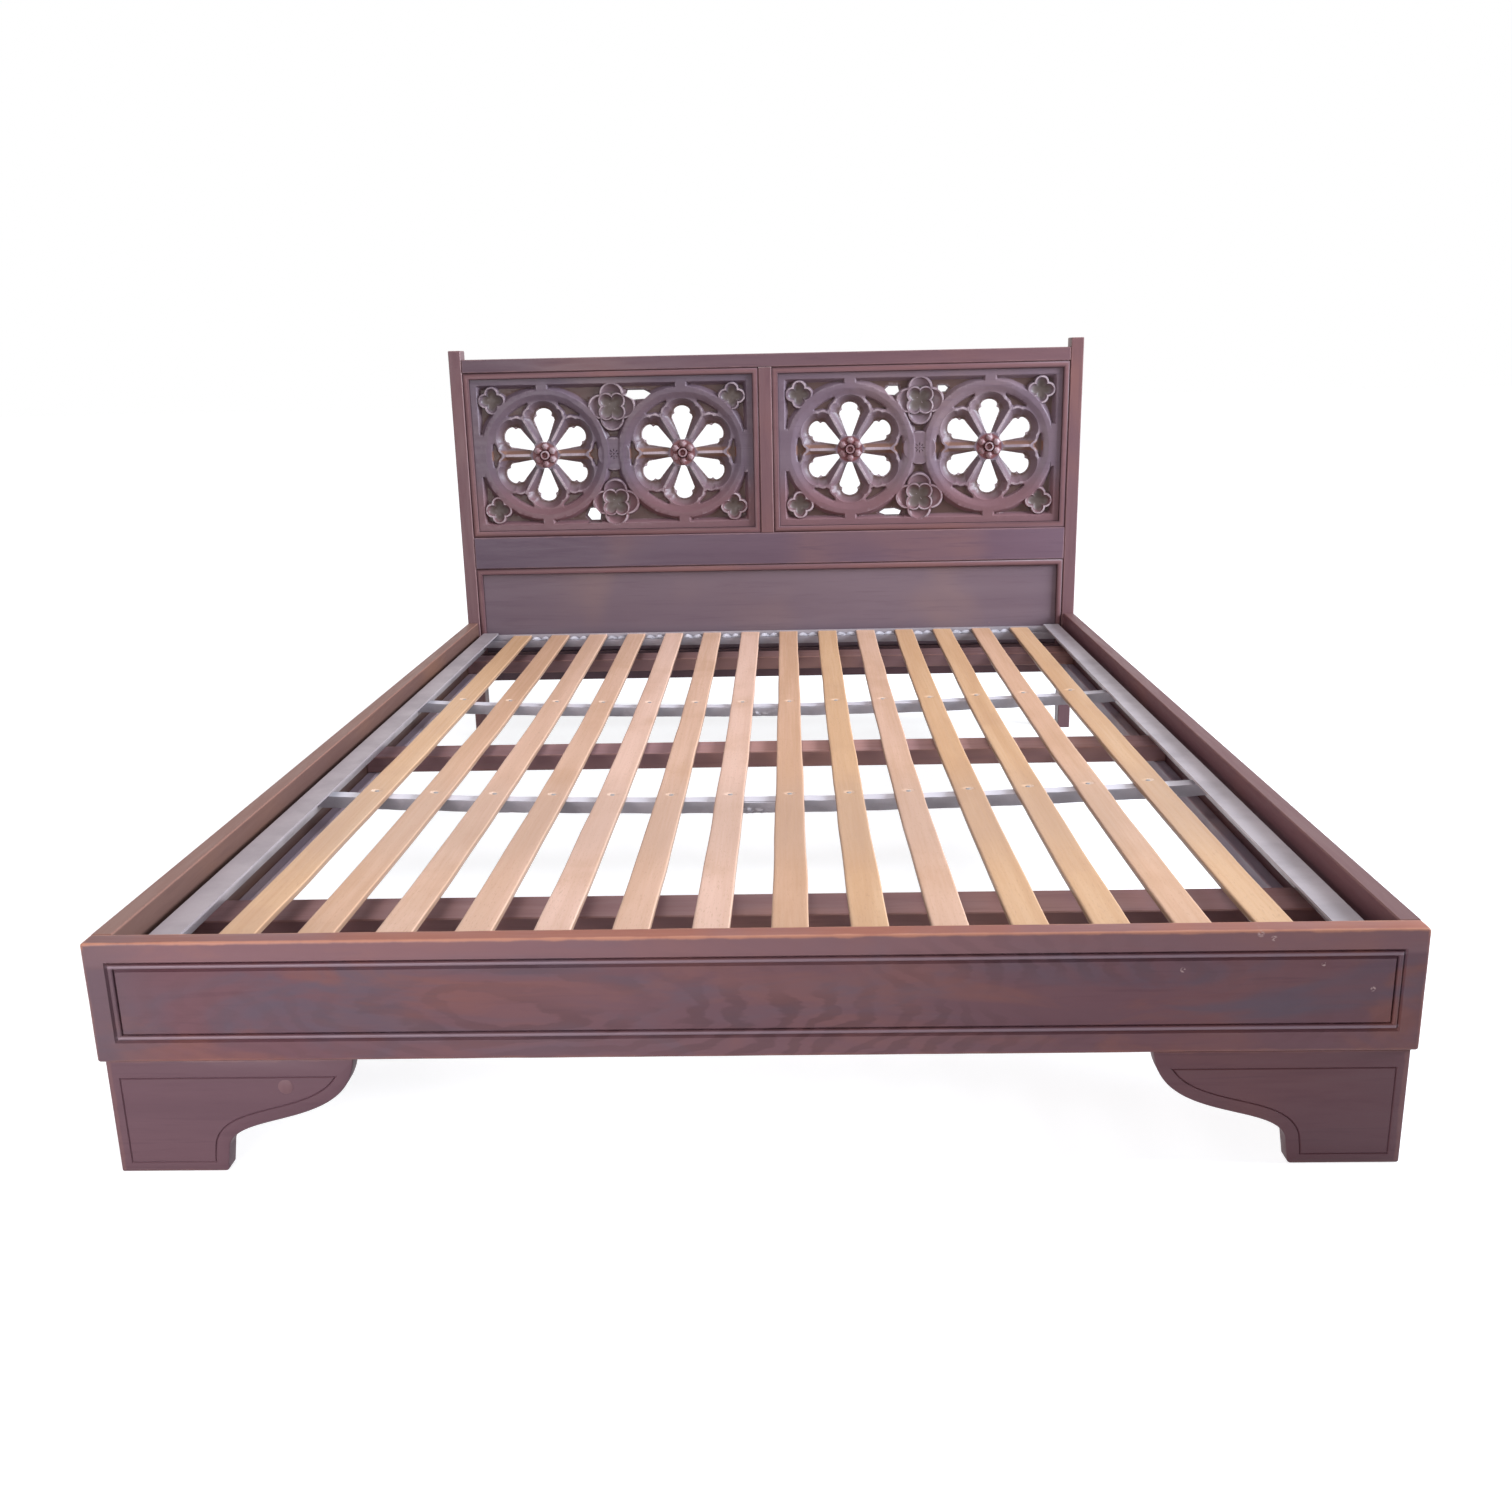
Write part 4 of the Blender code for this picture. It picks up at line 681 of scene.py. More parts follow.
def moulding_material(node):
    """Bead with a pale crown, rubbed and with a painted highlight, and painted shade in its quirks, told
    apart by how far they lie behind the face.
    """
    finish = Finish(node + "_wood")
    pores, streak = wood_tone(finish, "X", HEAD, (0.7, 0.0, 0.4), 0.8)
    depth = finish.minus(finish.axis(1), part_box(node)[0].y)
    # Paler crown: rubbing, with painted highlight; painted shade in the deep quirks
    finish.tint(depth, 0.0, 0.0005, 0.22, 0.0, MOULDING_CROWN_WEAR_AND_HIGHLIGHT)
    finish.tint(depth, QUIRK_DEPTH * 0.6, QUIRK_DEPTH, 0.0, 0.8, QUIRK_SHADE)
    return finish.finish(streak, (0.36, 0.52), finish.bump(pores, 0.2, 0.0004))


def slat_material(name, pale, dark, shift):
    """Waxed beech: fine long fibres and short flecks, a darker band across it in the foot half, a painted
    highlight on its rounded edges and dimples, and painted shade on its sides and underside.
    """
    finish = Finish(name, pale)
    fibre = finish.streaks((240.0, 5.0, 240.0), shift, 5.0, 0.6)
    finish.tint(finish.streaks((40.0, 1.6, 40.0), shift, 4.0, 0.55, 0.4), 0.3, 0.7, 0.0, 1.0, dark)
    finish.tint(fibre, 0.50, 0.72, 0.0, 0.45, dark)
    finish.tint(finish.streaks((700.0, 90.0, 700.0), shift, 1.0, 0.5), 0.60, 0.72, 0.0, 0.35, SLAT_FLECK)
    finish.tint(finish.streaks((5.0, 4.0, 5.0), shift, 4.0, 0.6), 0.48, 0.70, 0.0, 0.50, SLAT_STAIN)
    # Darker band across all the slats, about 0.45 m from the middle towards the foot
    off = finish.math('ABSOLUTE', finish.minus(finish.axis(1), DARK_BAND_PLACE))
    finish.tint(off, 0.06, 0.30, 0.42, 0.0, SLAT_DARK_BAND)
    # Painted highlight on the rounded edges and the dimples' slopes
    facing = finish.facing(2)
    rubbed_and_lit = finish.times(finish.fade(facing, 0.955, 0.985, 0.6, 0.0), finish.fade(facing, 0.80, 0.93))
    finish.lay(rubbed_and_lit, SLAT_EDGE_HIGHLIGHT)
    # Painted shade on the sides and underside
    finish.tint(facing, 0.3, 0.75, 0.75, 0.0, SLAT_SIDE_SHADE)
    return finish.finish(fibre, (0.36, 0.50), finish.bump(fibre, 0.15, 0.0003))


def steel_material(name, base, shift=0.0, top_light=0.0):
    """Old painted steel: grey with scuffs, dark dirt, a little rust and, where asked, painted light on its
    upper faces.
    """
    finish = Finish(name, base)
    place = finish.stretch((1.0, 1.0, 1.0), (shift, 0.0, 0.0))
    cloud = finish.noise(place, 9.0, 6.0, 0.6)
    scuff = finish.streaks((30.0, 6.0, 30.0), (shift, 0.0, 0.0), 6.0, 0.65)
    finish.tint(cloud, 0.35, 0.65, 0.0, 1.0, [0.80 * value for value in base])
    finish.tint(scuff, 0.55, 0.70, 0.0, 0.4, [1.20 * value for value in base])
    finish.tint(finish.noise(place, 26.0, 6.0, 0.65, 0.6), 0.70, 0.80, 0.0, 0.5, RUST)
    # Painted light on the faces turned up
    if top_light:
        finish.tint(finish.facing(2), 0.3, 0.8, 0.0, top_light, STEEL_TOP_LIGHT)
    normal = finish.bump(cloud, 0.25, 0.0012, finish.bump(scuff, 0.2, 0.0004))
    return finish.finish(cloud, (0.40, 0.60), normal, 0.5, 0.25)


# Mesh helpers


def piece(name, mesh, material, body, nodes=(), smooth=None):
    """Adds a mesh as a piece that moves with a body and stands for the nodes it replaces."""
    made = show_object(name, mesh)
    mesh.materials.clear()
    mesh.materials.append(material)
    if smooth is not None:
        mesh.shade_smooth()
        mesh.set_sharp_from_angle(angle=math.radians(smooth))
    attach(made, body)
    if nodes:
        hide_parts(*nodes)


def mesh_from(solid, name):
    bmesh.ops.remove_doubles(solid, verts=solid.verts, dist=1e-6)
    bmesh.ops.recalc_face_normals(solid, faces=solid.faces)
    mesh = bpy.data.meshes.new(name)
    solid.to_mesh(mesh)
    solid.free()
    return mesh


def refine(node, solid, material, body, smooth):
    """Shows a finer mesh in place of one node."""
    name = node + "_fine"
    piece(name, mesh_from(solid, name), material, body, (node,), smooth)


def add_loft(solid, loops, ring=False):
    """Skins loops of equal point counts; a ring joins its last loop to its first."""
    rows = [[solid.verts.new(point) for point in loop] for loop in loops]
    pairs = list(zip(rows, rows[1:]))
    if ring:
        pairs.append((rows[-1], rows[0]))
    for first, second in pairs:
        for i, j in chain(0, len(first)):
            solid.faces.new((first[i], first[j], second[j], second[i]))
    if not ring:
        solid.faces.new(rows[0])
        solid.faces.new(rows[-1])


def loft(loops, ring=False):
    solid = bmesh.new()
    add_loft(solid, loops, ring)
    return solid


def add_turned(solid, profile, count, place):
    """Skins rounds, each with a radius and a level, that place sets in the scene."""
    turns = [FULL_TURN * i / count for i in range(count)]
    add_loft(solid, [[place(radius * math.cos(t), radius * math.sin(t), level) for t in turns]
                     for radius, level in profile])


def chain(start, count):
    """Pairs of neighbours round a closed loop of numbered points."""
    return [(start + i, start + (i + 1) % count) for i in range(count)]


def spread(start, end, count):
    """Values in equal steps from start to end."""
    return [start + (end - start) * i / count for i in range(count + 1)]


def polar(centre, radius, angle):
    return (centre[0] + radius * math.cos(angle), centre[1] + radius * math.sin(angle))


def arc(centre, radius, start, end, count):
    """Points on a round, from one angle to another, in degrees."""
    return [polar(centre, radius, math.radians(angle)) for angle in spread(start, end, count - 1)]


def rough(point, scale, seed):
    """Smooth repeatable noise between about -1 and 1 at a point."""
    return noise.noise(Vector((point[0] * scale + seed, point[1] * scale - seed, point[2] * scale)))


def mitres(path, closed=True):
    """The step to the left at each point of a path that lies one unit from the runs that meet there."""
    points = [Vector(point) for point in path]
    runs = [(points[j] - points[i]).normalized() for i, j in chain(0, len(points))]
    left = [Vector((-run.y, run.x)) for run in runs]
    before = left[-1:] + left[:-1]
    if not closed:
        before[0] = left[0]
        left[-1] = before[-1]
    return [(first + last) / (1 + first.dot(last)) for first, last in zip(before, left)]


# Outlines of the carving, each as the radius at an angle round a centre


def round_outline(radius):
    return lambda angle: np.full_like(angle, radius)


def hand_cut(radius, seed):
    """A round that wavers a little, as one cut by hand does."""
    return lambda angle: radius + HAND_CUT * (np.sin(9 * angle + seed) + 0.7 * np.sin(23 * angle - 2 * seed))


def box_outline(half_width, half_height):
    def radius(angle):
        wide = half_width / np.maximum(np.abs(np.cos(angle)), 1e-9)
        high = half_height / np.maximum(np.abs(np.sin(angle)), 1e-9)
        return np.minimum(wide, high)
    return radius


def foil_outline(lobes, reach, lobe_radius, turn):
    """A flower of round lobes that meet in cusps; the first lobe points along the turn."""
    centre = reach - lobe_radius
    step = FULL_TURN / lobes

    def radius(angle):
        off = (angle - turn + step / 2) % step - step / 2
        side = np.maximum(lobe_radius ** 2 - (centre * np.sin(off)) ** 2, 0.0)
        return centre * np.cos(off) + np.sqrt(side)
    return radius


def flat_sided_outline(sides):
    """A convex shape from its sides, each the direction it faces and its distance."""
    def radius(angle):
        best = np.full_like(angle, 1.0)
        for facing, distance in sides:
            slant = np.cos(angle - facing)
            reach = np.where(slant > 1e-6, distance / np.maximum(slant, 1e-6), 1.0)
            best = np.minimum(best, reach)
        return best
    return radius


def corner_outline(corners):
    """A convex shape from its corners, given in either direction round the centre."""
    sides = []
    for (x0, z0), (x1, z1) in zip(corners, corners[1:] + corners[:1]):
        facing = math.atan2(x0 - x1, z1 - z0)
        distance = x0 * math.cos(facing) + z0 * math.sin(facing)
        sides.append((facing, distance) if distance > 0 else (facing + math.pi, -distance))
    return flat_sided_outline(sides)


def grown(outline, extra):
    return lambda angle: outline(angle) + extra


def shrunk(outline, share):
    return lambda angle: outline(angle) * share


def ellipse_crossing(angle, centre, tilt, half_along, half_across, far):
    """Distance along each direction to the far or near side of an ellipse off the centre."""
    along_x = math.cos(tilt)
    along_z = math.sin(tilt)
    ray_a = (np.cos(angle) * along_x + np.sin(angle) * along_z) / half_along
    ray_b = (np.sin(angle) * along_x - np.cos(angle) * along_z) / half_across
    off_a = (centre[0] * along_x + centre[1] * along_z) / half_along
    off_b = (centre[1] * along_x - centre[0] * along_z) / half_across
    length = ray_a ** 2 + ray_b ** 2
    middle = (ray_a * off_a + ray_b * off_b) / length
    square = middle ** 2 - (off_a ** 2 + off_b ** 2 - 1) / length
    half = np.sqrt(np.maximum(square, 0.0))
    reach = middle + half if far else middle - half
    return np.where((square > 0) & (reach > 0), reach, 0.0 if far else 1.0)


def petal_mouth(angle):
    """Trefoil-headed petal between two spokes, seen from its centre with the rim along angle 0."""
    half_step = PETAL_STEP / 2
    spoke = PETAL_CENTRE * math.sin(half_step) - SPOKE_HALF_WIDTH
    tail = flat_sided_outline([
        (half_step + math.pi / 2, spoke),
        (-half_step - math.pi / 2, spoke),
        (SHOULDER_FACING, SHOULDER_DISTANCE),
        (-SHOULDER_FACING, SHOULDER_DISTANCE),
        (0.0, LOBE_CENTRE[0] - PETAL_CENTRE),
        (math.pi, PETAL_CENTRE - HUB_RADIUS),
    ])
    centre = (HEAD_CENTRE - PETAL_CENTRE, 0.0)
    head = ellipse_crossing(angle, centre, 0.0, HEAD_HALF_HEIGHT, HEAD_HALF_WIDTH, True)
    radius = np.maximum(tail(angle), head)
    for side in (-1, 1):
        lobe = (LOBE_CENTRE[0] - PETAL_CENTRE, side * LOBE_CENTRE[1])
        radius = np.maximum(radius, ellipse_crossing(angle, lobe, 0.0, LOBE_RADIUS, LOBE_RADIUS, True))
    return radius


def petal_hole(angle):
    """Teardrop that the petal narrows to at the back of the board, with two blunt cusps."""
    rise = HOLE_CENTRE - PETAL_CENTRE
    side = HOLE_RADIUS - rise * math.sin(HOLE_TAPER)
    tail = flat_sided_outline([
        (HOLE_TAPER + math.pi / 2, side),
        (-HOLE_TAPER - math.pi / 2, side),
        (0.0, rise - HOLE_RADIUS * math.sin(HOLE_TAPER)),
        (math.pi, PETAL_CENTRE - HOLE_TAIL),
    ])
    head = ellipse_crossing(angle, (rise, 0.0), 0.0, HOLE_RADIUS, HOLE_RADIUS, True)
    off = np.abs((angle + math.pi) % FULL_TURN - math.pi) - CUSP_FACING
    return np.maximum(tail(angle), head) - CUSP_LENGTH * np.exp(-(off / CUSP_SPREAD) ** 2)


def spandrel_outline(inset):
    """Three-sided sinking between the ring and two petal heads, with the rim along angle 0."""
    half_step = PETAL_STEP / 2
    hub = (-SPANDREL_CENTRE, 0.0)
    ring_inner = WHEEL_RADIUS - RING_WIDTH - SPANDREL_FILLET / 2 - inset
    margin = SPANDREL_FILLET + inset
    head = polar(hub, HEAD_CENTRE, half_step)
    lobe_angle = half_step - math.atan2(LOBE_CENTRE[1], LOBE_CENTRE[0])
    lobe = polar(hub, math.hypot(*LOBE_CENTRE), lobe_angle)
    lobe_half = LOBE_RADIUS + margin

    def radius(angle):
        best = ellipse_crossing(angle, hub, 0.0, ring_inner, ring_inner, True)
        for side in (-1, 1):
            near = ellipse_crossing(angle, (head[0], side * head[1]), side * half_step,
                                    HEAD_HALF_HEIGHT + margin, HEAD_HALF_WIDTH + margin, False)
            best = np.minimum(best, near)
            near = ellipse_crossing(angle, (lobe[0], side * lobe[1]), 0.0, lobe_half, lobe_half, False)
            best = np.minimum(best, near)
        inward = np.maximum(-np.cos(angle), 0.0)
        reach = SPANDREL_REACH + (SPANDREL_TAIL - SPANDREL_REACH) * inward - inset
        return np.minimum(best, reach)
    return radius


def walk_angles(outline, spacing):
    """Angles that step evenly along an outline and do not miss its corners."""
    fine = np.linspace(0.0, FULL_TURN, 1440, endpoint=False)
    radius = outline(fine)
    points = np.stack([radius * np.cos(fine), radius * np.sin(fine)], 1)
    steps = np.roll(points, -1, 0) - points
    heading = np.arctan2(steps[:, 1], steps[:, 0])
    turn = np.abs((heading - np.roll(heading, 1) + math.pi) % FULL_TURN - math.pi)
    sharpest = np.maximum(np.roll(turn, 1), np.roll(turn, -1))
    corners = fine[(turn > 0.25) & (turn >= sharpest)]
    length = np.concatenate([[0.0], np.cumsum(np.hypot(steps[:, 0], steps[:, 1]))])
    count = max(6, int(round(length[-1] / spacing)))
    even = np.interp(np.arange(count) * length[-1] / count, length, np.append(fine, FULL_TURN))
    chosen = list(corners)
    for angle in even:
        gap = np.abs((angle - corners + math.pi) % FULL_TURN - math.pi)
        reach = float(outline(np.array([angle]))[0])
        if not len(gap) or gap.min() * reach > spacing * 0.5:
            chosen.append(angle)
    return np.array(sorted(chosen))


# How a carved wall falls from its edge, share 0, to its foot, share 1, and the shares that are meshed


def soft(share):
    return share * share * (3 - 2 * share)


def sloped(share):
    return np.interp(share, (0.0, 0.10, 0.90, 1.0), (0.0, 0.05, 0.95, 1.0))


def coved(share):
    return 1 - (1 - share) ** 1.7


def bowled(share):
    return np.sqrt(np.maximum(1 - (1 - share) ** 2, 0.0))


SOFT_WALL = (soft, (0.0, 0.22, 0.5, 0.78, 1.0))
STROKE = (soft, (0.0, 1.0))
BEVEL = (sloped, (0.0, 0.10, 0.5, 0.90, 1.0))
COVE = (coved, (0.0, 0.06, 0.16, 0.32, 0.52, 0.76, 1.0))
BOWL = (bowled, (0.0, 0.04, 0.12, 0.26, 0.46, 0.72, 1.0))
DOME = (np.square, (0.0, 0.3, 0.55, 0.75, 0.9, 1.0))


class Relief:
    """A carved board seen from the front: its outlines in plan, and the height of each point.

    Heights count forward from the face of the board. Steps are cut one after another.
    """

    def __init__(self, half_width, half_height, thick):
        self.half = (half_width, half_height)
        self.thick = thick
        self.loops = []
        self.holes = []
        self.steps = []

    def step(self, kind, centre, edge, foot, top, bottom, wall=SOFT_WALL, turn=0.0, hole=False,
             spacing=LOOP_SPACING):
        """Adds a boss, which only raises, or a sinking, which only lowers.

        The edge outline lies at the top level and the foot outline at the bottom level.
        """
        form, shares = wall
        angles = walk_angles(edge, spacing)
        start = edge(angles)
        end = foot(angles)
        for share in shares:
            radius = start + share * (end - start)
            self.loops.append(np.stack([centre[0] + radius * np.cos(angles + turn),
                                        centre[1] + radius * np.sin(angles + turn)], 1))
        if hole:
            self.holes.append(len(self.loops) - 1)
        self.steps.append((kind, centre, edge, foot, top, bottom, form, turn))

    def heights(self, points):
        level = np.zeros(len(points))
        for kind, centre, edge, foot, top, bottom, form, turn in self.steps:
            across = points[:, 0] - centre[0]
            up = points[:, 1] - centre[1]
            distance = np.hypot(across, up)
            angle = np.arctan2(up, across) - turn
            start = edge(angle)
            end = foot(angle)
            share = np.clip((distance - start) / (end - start), 0.0, 1.0)
            slope = top + form(share) * (bottom - top)
            if kind == "boss":
                level = np.where(distance < end, np.maximum(level, slope), level)
            else:
                level = np.where(distance < start, np.minimum(level, slope), level)
        return level

    def grid(self):
        """Loose points between the outlines, so that flat ground takes the carver's marks."""
        across, up = (np.arange(-half + GRID_SPACING / 2, half, GRID_SPACING) for half in self.half)
        return np.array([(a, b) for a in across for b in up])

    def mesh(self, name, place):
        """Meshes the face along all its outlines and closes it with walls and a flat back."""
        corners = [(-1, -1), (1, -1), (1, 1), (-1, 1)]
        outer = np.array([(a * self.half[0], b * self.half[1]) for a, b in corners])
        points, edges, faces = [], [], []
        for index, loop in enumerate(self.loops + [outer]):
            ring = chain(len(points), len(loop))
            points += [Vector(point * MILLIMETRES) for point in loop]
            edges += ring
            if index in self.holes:
                faces.append([first for first, _ in ring])
        points += [Vector(point * MILLIMETRES) for point in self.grid()]
        plan, _, triangles, _, _, inside = delaunay_2d_cdt(points, edges, faces, 0, MERGE_MILLIMETRES)
        plan = np.array([tuple(point) for point in plan]) / MILLIMETRES
        kept = [tri for tri, within in zip(triangles, inside) if not within]
        level = self.heights(plan)
        ends = {(tri[i], tri[j]) for tri in kept for i, j in chain(0, 3)}
        rim = sorted(pair for pair in ends if (pair[1], pair[0]) not in ends)
        rim_ids = sorted({i for pair in rim for i in pair})
        number = {i: n for n, i in enumerate(rim_ids)}
        solid = bmesh.new()
        front = {}
        for i in sorted({i for tri in kept for i in tri}):
            x, z = plan[i]
            lift = level[i] + TOOL_MARK * rough((x, z, level[i]), 70.0, 3.0)
            front[i] = solid.verts.new((place[0] + x, place[1] - lift, place[2] + z))
        back = [solid.verts.new((place[0] + x, place[1] + self.thick, place[2] + z))
                for x, z in plan[rim_ids]]
        for tri in kept:
            solid.faces.new([front[i] for i in tri])
        for first, second in rim:
            solid.faces.new((front[second], front[first], back[number[first]], back[number[second]]))
        walls = {(number[first], number[second]) for first, second in rim}
        for tri in back_triangles(plan[rim_ids], walls):
            solid.faces.new([back[i] for i in reversed(tri)])
        return mesh_from(solid, name)


def back_triangles(plan, walls):
    """Triangles of a flat back, spreading from the solid side of its rims."""
    points = [Vector(point * MILLIMETRES) for point in plan]
    _, _, triangles, origins, _, _ = delaunay_2d_cdt(points, sorted(walls), [], 0, 1e-4)
    triangles = [[origins[i][0] for i in tri] for tri in triangles]
    owner = {(tri[i], tri[j]): n for n, tri in enumerate(triangles) for i, j in chain(0, 3)}
    closed = walls | {(b, a) for a, b in walls}
    kept = {owner[pair] for pair in walls if pair in owner}
    todo = list(kept)
    while todo:
        tri = triangles[todo.pop()]
        for i, j in chain(0, 3):
            across = owner.get((tri[j], tri[i]))
            if (tri[i], tri[j]) not in closed and across is not None and across not in kept:
                kept.add(across)
                todo.append(across)
    return [triangles[n] for n in sorted(kept)]


def carve_wheel(relief, centre):
    """Ring, six coved petals, six spandrel sinkings and a flower at the hub."""
    relief.step("boss", centre, hand_cut(WHEEL_RADIUS, 1.0), hand_cut(WHEEL_RADIUS + RING_RUN, 2.0),
                0.0, -GROUND_DEPTH, BEVEL)
    relief.step("sink", centre, hand_cut(WHEEL_RADIUS - RING_FLAT, 3.0),
                round_outline(WHEEL_RADIUS - RING_WIDTH - WEB_DEPTH), 0.0, -WEB_DEPTH, BEVEL)
    for i in range(PETALS):
        spoke = i * PETAL_STEP
        middle = spoke + PETAL_STEP / 2
        relief.step("sink", polar(centre, PETAL_CENTRE, middle), petal_mouth, petal_hole,
                    -WEB_DEPTH, RIM_THICK - TRACERY_THICK, COVE, middle, True)
        relief.step("sink", polar(centre, SPANDREL_CENTRE, spoke), spandrel_outline(0.0),
                    spandrel_outline(WEB_DEPTH), -WEB_DEPTH, -SPANDREL_DEPTH, turn=spoke)
    carve_hub(relief, centre)


def carve_hub(relief, centre):
    """Flower of six round petals about a ring with a hollow eye."""
    half_step = PETAL_STEP / 2
    flower = foil_outline(PETALS, HUB_RADIUS, HUB_LOBE, half_step)
    ring = round_outline(HUB_RING)
    relief.step("boss", centre, flower, grown(flower, WALL_RUN), -HUB_FALL, -GROUND_DEPTH)
    for i in range(PETALS):
        lobe = polar(centre, HUB_RADIUS - HUB_LOBE, half_step * (2 * i + 1))
        relief.step("boss", lobe, round_outline(HUB_LOBE_TIP), round_outline(HUB_LOBE), HUB_RISE / 2,
                    -HUB_FALL, DOME, spacing=LOBE_SPACING)
    relief.step("sink", centre, round_outline(HUB_RING + HUB_RISE / 2), ring, 0.0, -HUB_FALL)
    relief.step("boss", centre, round_outline(HUB_RING - HUB_RING_WALL), ring, HUB_RISE, -HUB_FALL)
    relief.step("sink", centre, round_outline(HUB_EYE), round_outline(HUB_EYE_FLOOR), HUB_RISE,
                -HUB_RISE / 2, BOWL)


def carve_cup(relief, centre, reach, lobe, band, depth, turn=0.0):
    """One four-lobed hollow inside a thin rim."""
    edge = foil_outline(4, reach - band, lobe - band, turn)
    relief.step("sink", centre, edge, shrunk(edge, CUP_FLOOR), 0.0, -depth, BOWL)


def carve_rim(relief, centre, reach, lobe, run, depth, turn=0.0):
    """Four-lobed boss that a cup is cut in."""
    rim = foil_outline(4, reach, lobe, turn)
    relief.step("boss", centre, rim, grown(rim, run), 0.0, -depth)


def carve_rosette(relief, centre):
    """Large double quatrefoil: four outer scoops, and a raised cup turned against them."""
    half_turn = math.pi / 4
    carve_rim(relief, centre, ROSETTE_REACH, ROSETTE_LOBE, WALL_RUN, GROUND_DEPTH)
    carve_cup(relief, centre, ROSETTE_REACH, ROSETTE_LOBE, ROSETTE_BAND, ROSETTE_DEPTH)
    carve_rim(relief, centre, CUP_REACH, CUP_LOBE, CUP_BAND, ROSETTE_DEPTH, half_turn)
    carve_cup(relief, centre, CUP_REACH, CUP_LOBE, CUP_BAND, CUP_DEPTH, half_turn)


def carve_corner(relief, centre):
    """Small quatrefoil cup in a corner of the panel."""
    carve_rim(relief, centre, CORNER_REACH, CORNER_LOBE, WALL_RUN, GROUND_DEPTH)
    carve_cup(relief, centre, CORNER_REACH, CORNER_LOBE, CORNER_BAND, CUP_DEPTH)


def carve_tab(relief, centre, half_width, half_height):
    edge = box_outline(half_width, half_height)
    foot = box_outline(half_width + TAB_RUN, half_height + TAB_RUN)
    relief.step("boss", centre, edge, foot, 0.0, -GROUND_DEPTH, BEVEL)


def carve_tabs(relief, wheel, side, half_width, half_height):
    """Flat tabs from a ring to the border above, below and on its outer side."""
    reach = half_height - WHEEL_RADIUS
    for up in (-1, 1):
        place = (wheel[0], up * (WHEEL_RADIUS + reach / 2))
        carve_tab(relief, place, TAB_WIDTH / 2, reach / 2 + TAB_OVERLAP)
    reach = half_width - abs(wheel[0]) - WHEEL_RADIUS
    place = (side * (abs(wheel[0]) + WHEEL_RADIUS + reach / 2), 0.0)
    carve_tab(relief, place, reach / 2 + TAB_OVERLAP, SIDE_TAB_HEIGHT / 2)


def carve_boss(relief):
    """Round boss between the wheels, with a small rosette of strokes cut in it."""
    middle = (0.0, 0.0)
    floor = -BOSS_DEPTH - TICK_DEPTH
    relief.step("boss", middle, round_outline(BOSS_RADIUS), round_outline(BOSS_RADIUS + WALL_RUN),
                -BOSS_DEPTH, -GROUND_DEPTH)
    stroke = box_outline(TICK_LENGTH / 2, TICK_WIDTH / 2)
    for i in range(TICKS):
        angle = FULL_TURN * i / TICKS
        relief.step("sink", polar(middle, TICK_RADIUS, angle), stroke, shrunk(stroke, 0.2),
                    -BOSS_DEPTH, floor, STROKE, angle, spacing=TICK_WIDTH)
    relief.step("sink", middle, round_outline(TICK_WIDTH), round_outline(TICK_WIDTH / 4),
                -BOSS_DEPTH, floor, STROKE, spacing=TICK_WIDTH)


def carve_slots(relief, open_slots):
    """Pierced three-sided slots beside the rosettes, between the rings and the border."""
    for x, z, width, height in open_slots:
        wide = math.copysign(width, x) / SLOT_RUN
        tall = math.copysign(height, z) / SLOT_RUN
        edge = corner_outline([(wide * a, tall * b) for a, b in SLOT_SHAPE])
        relief.step("sink", (x, z), edge, shrunk(edge, SLOT_RUN), -GROUND_DEPTH,
                    RIM_THICK - TRACERY_THICK, hole=True)


def build_tracery():
    """Both carved boards: two wheels each, a boss between them, rosettes and corner quatrefoils."""
    for side, label in SIDES:
        node = label + "_tracery_panel"
        low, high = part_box(node)
        half_width = (high.x - low.x) / 2
        half_height = (high.z - low.z) / 2
        relief = Relief(half_width + PANEL_GAP, half_height + PANEL_GAP, TRACERY_THICK)
        wide = half_width - EDGE_BORDER
        tall = half_height - EDGE_BORDER
        relief.step("sink", (0.0, 0.0), box_outline(wide, tall),
                    box_outline(wide - BORDER_RUN, tall - BORDER_RUN), 0.0, -GROUND_DEPTH, BEVEL,
                    spacing=4 * LOOP_SPACING)
        carve_slots(relief, OPEN_SLOTS[label])
        corners = [(across * (wide - CORNER_INSET), up * (tall - CORNER_INSET))
                   for up in (-1, 1) for across in (-1, 1)]
        rosettes = [(0.0, rise) for rise in ROSETTE_RISES]
        for corner in corners:
            carve_corner(relief, corner)
        for rosette in rosettes:
            carve_rosette(relief, rosette)
        for wheel_side in (-1, 1):
            wheel = (wheel_side * WHEEL_SPACING / 2, 0.0)
            carve_wheel(relief, wheel)
            carve_tabs(relief, wheel, wheel_side, wide, tall)
        carve_boss(relief)
        place = ((low.x + high.x) / 2, high.y - TRACERY_THICK, (low.z + high.z) / 2)
        mesh = relief.mesh(label + "_tracery", place)
        cups = [(cup, CUP_REACH) for cup in rosettes] + [(cup, CORNER_REACH) for cup in corners]
        shift = (side * 2.3, 0.0, 0.0)
        material = carved_material(label + "_carved_wood", CARVED[label], shift, place, cups)
        piece(label + "_tracery", mesh, material, BED, (node,), smooth=32)


# Foot rail, mouldings and bracket feet


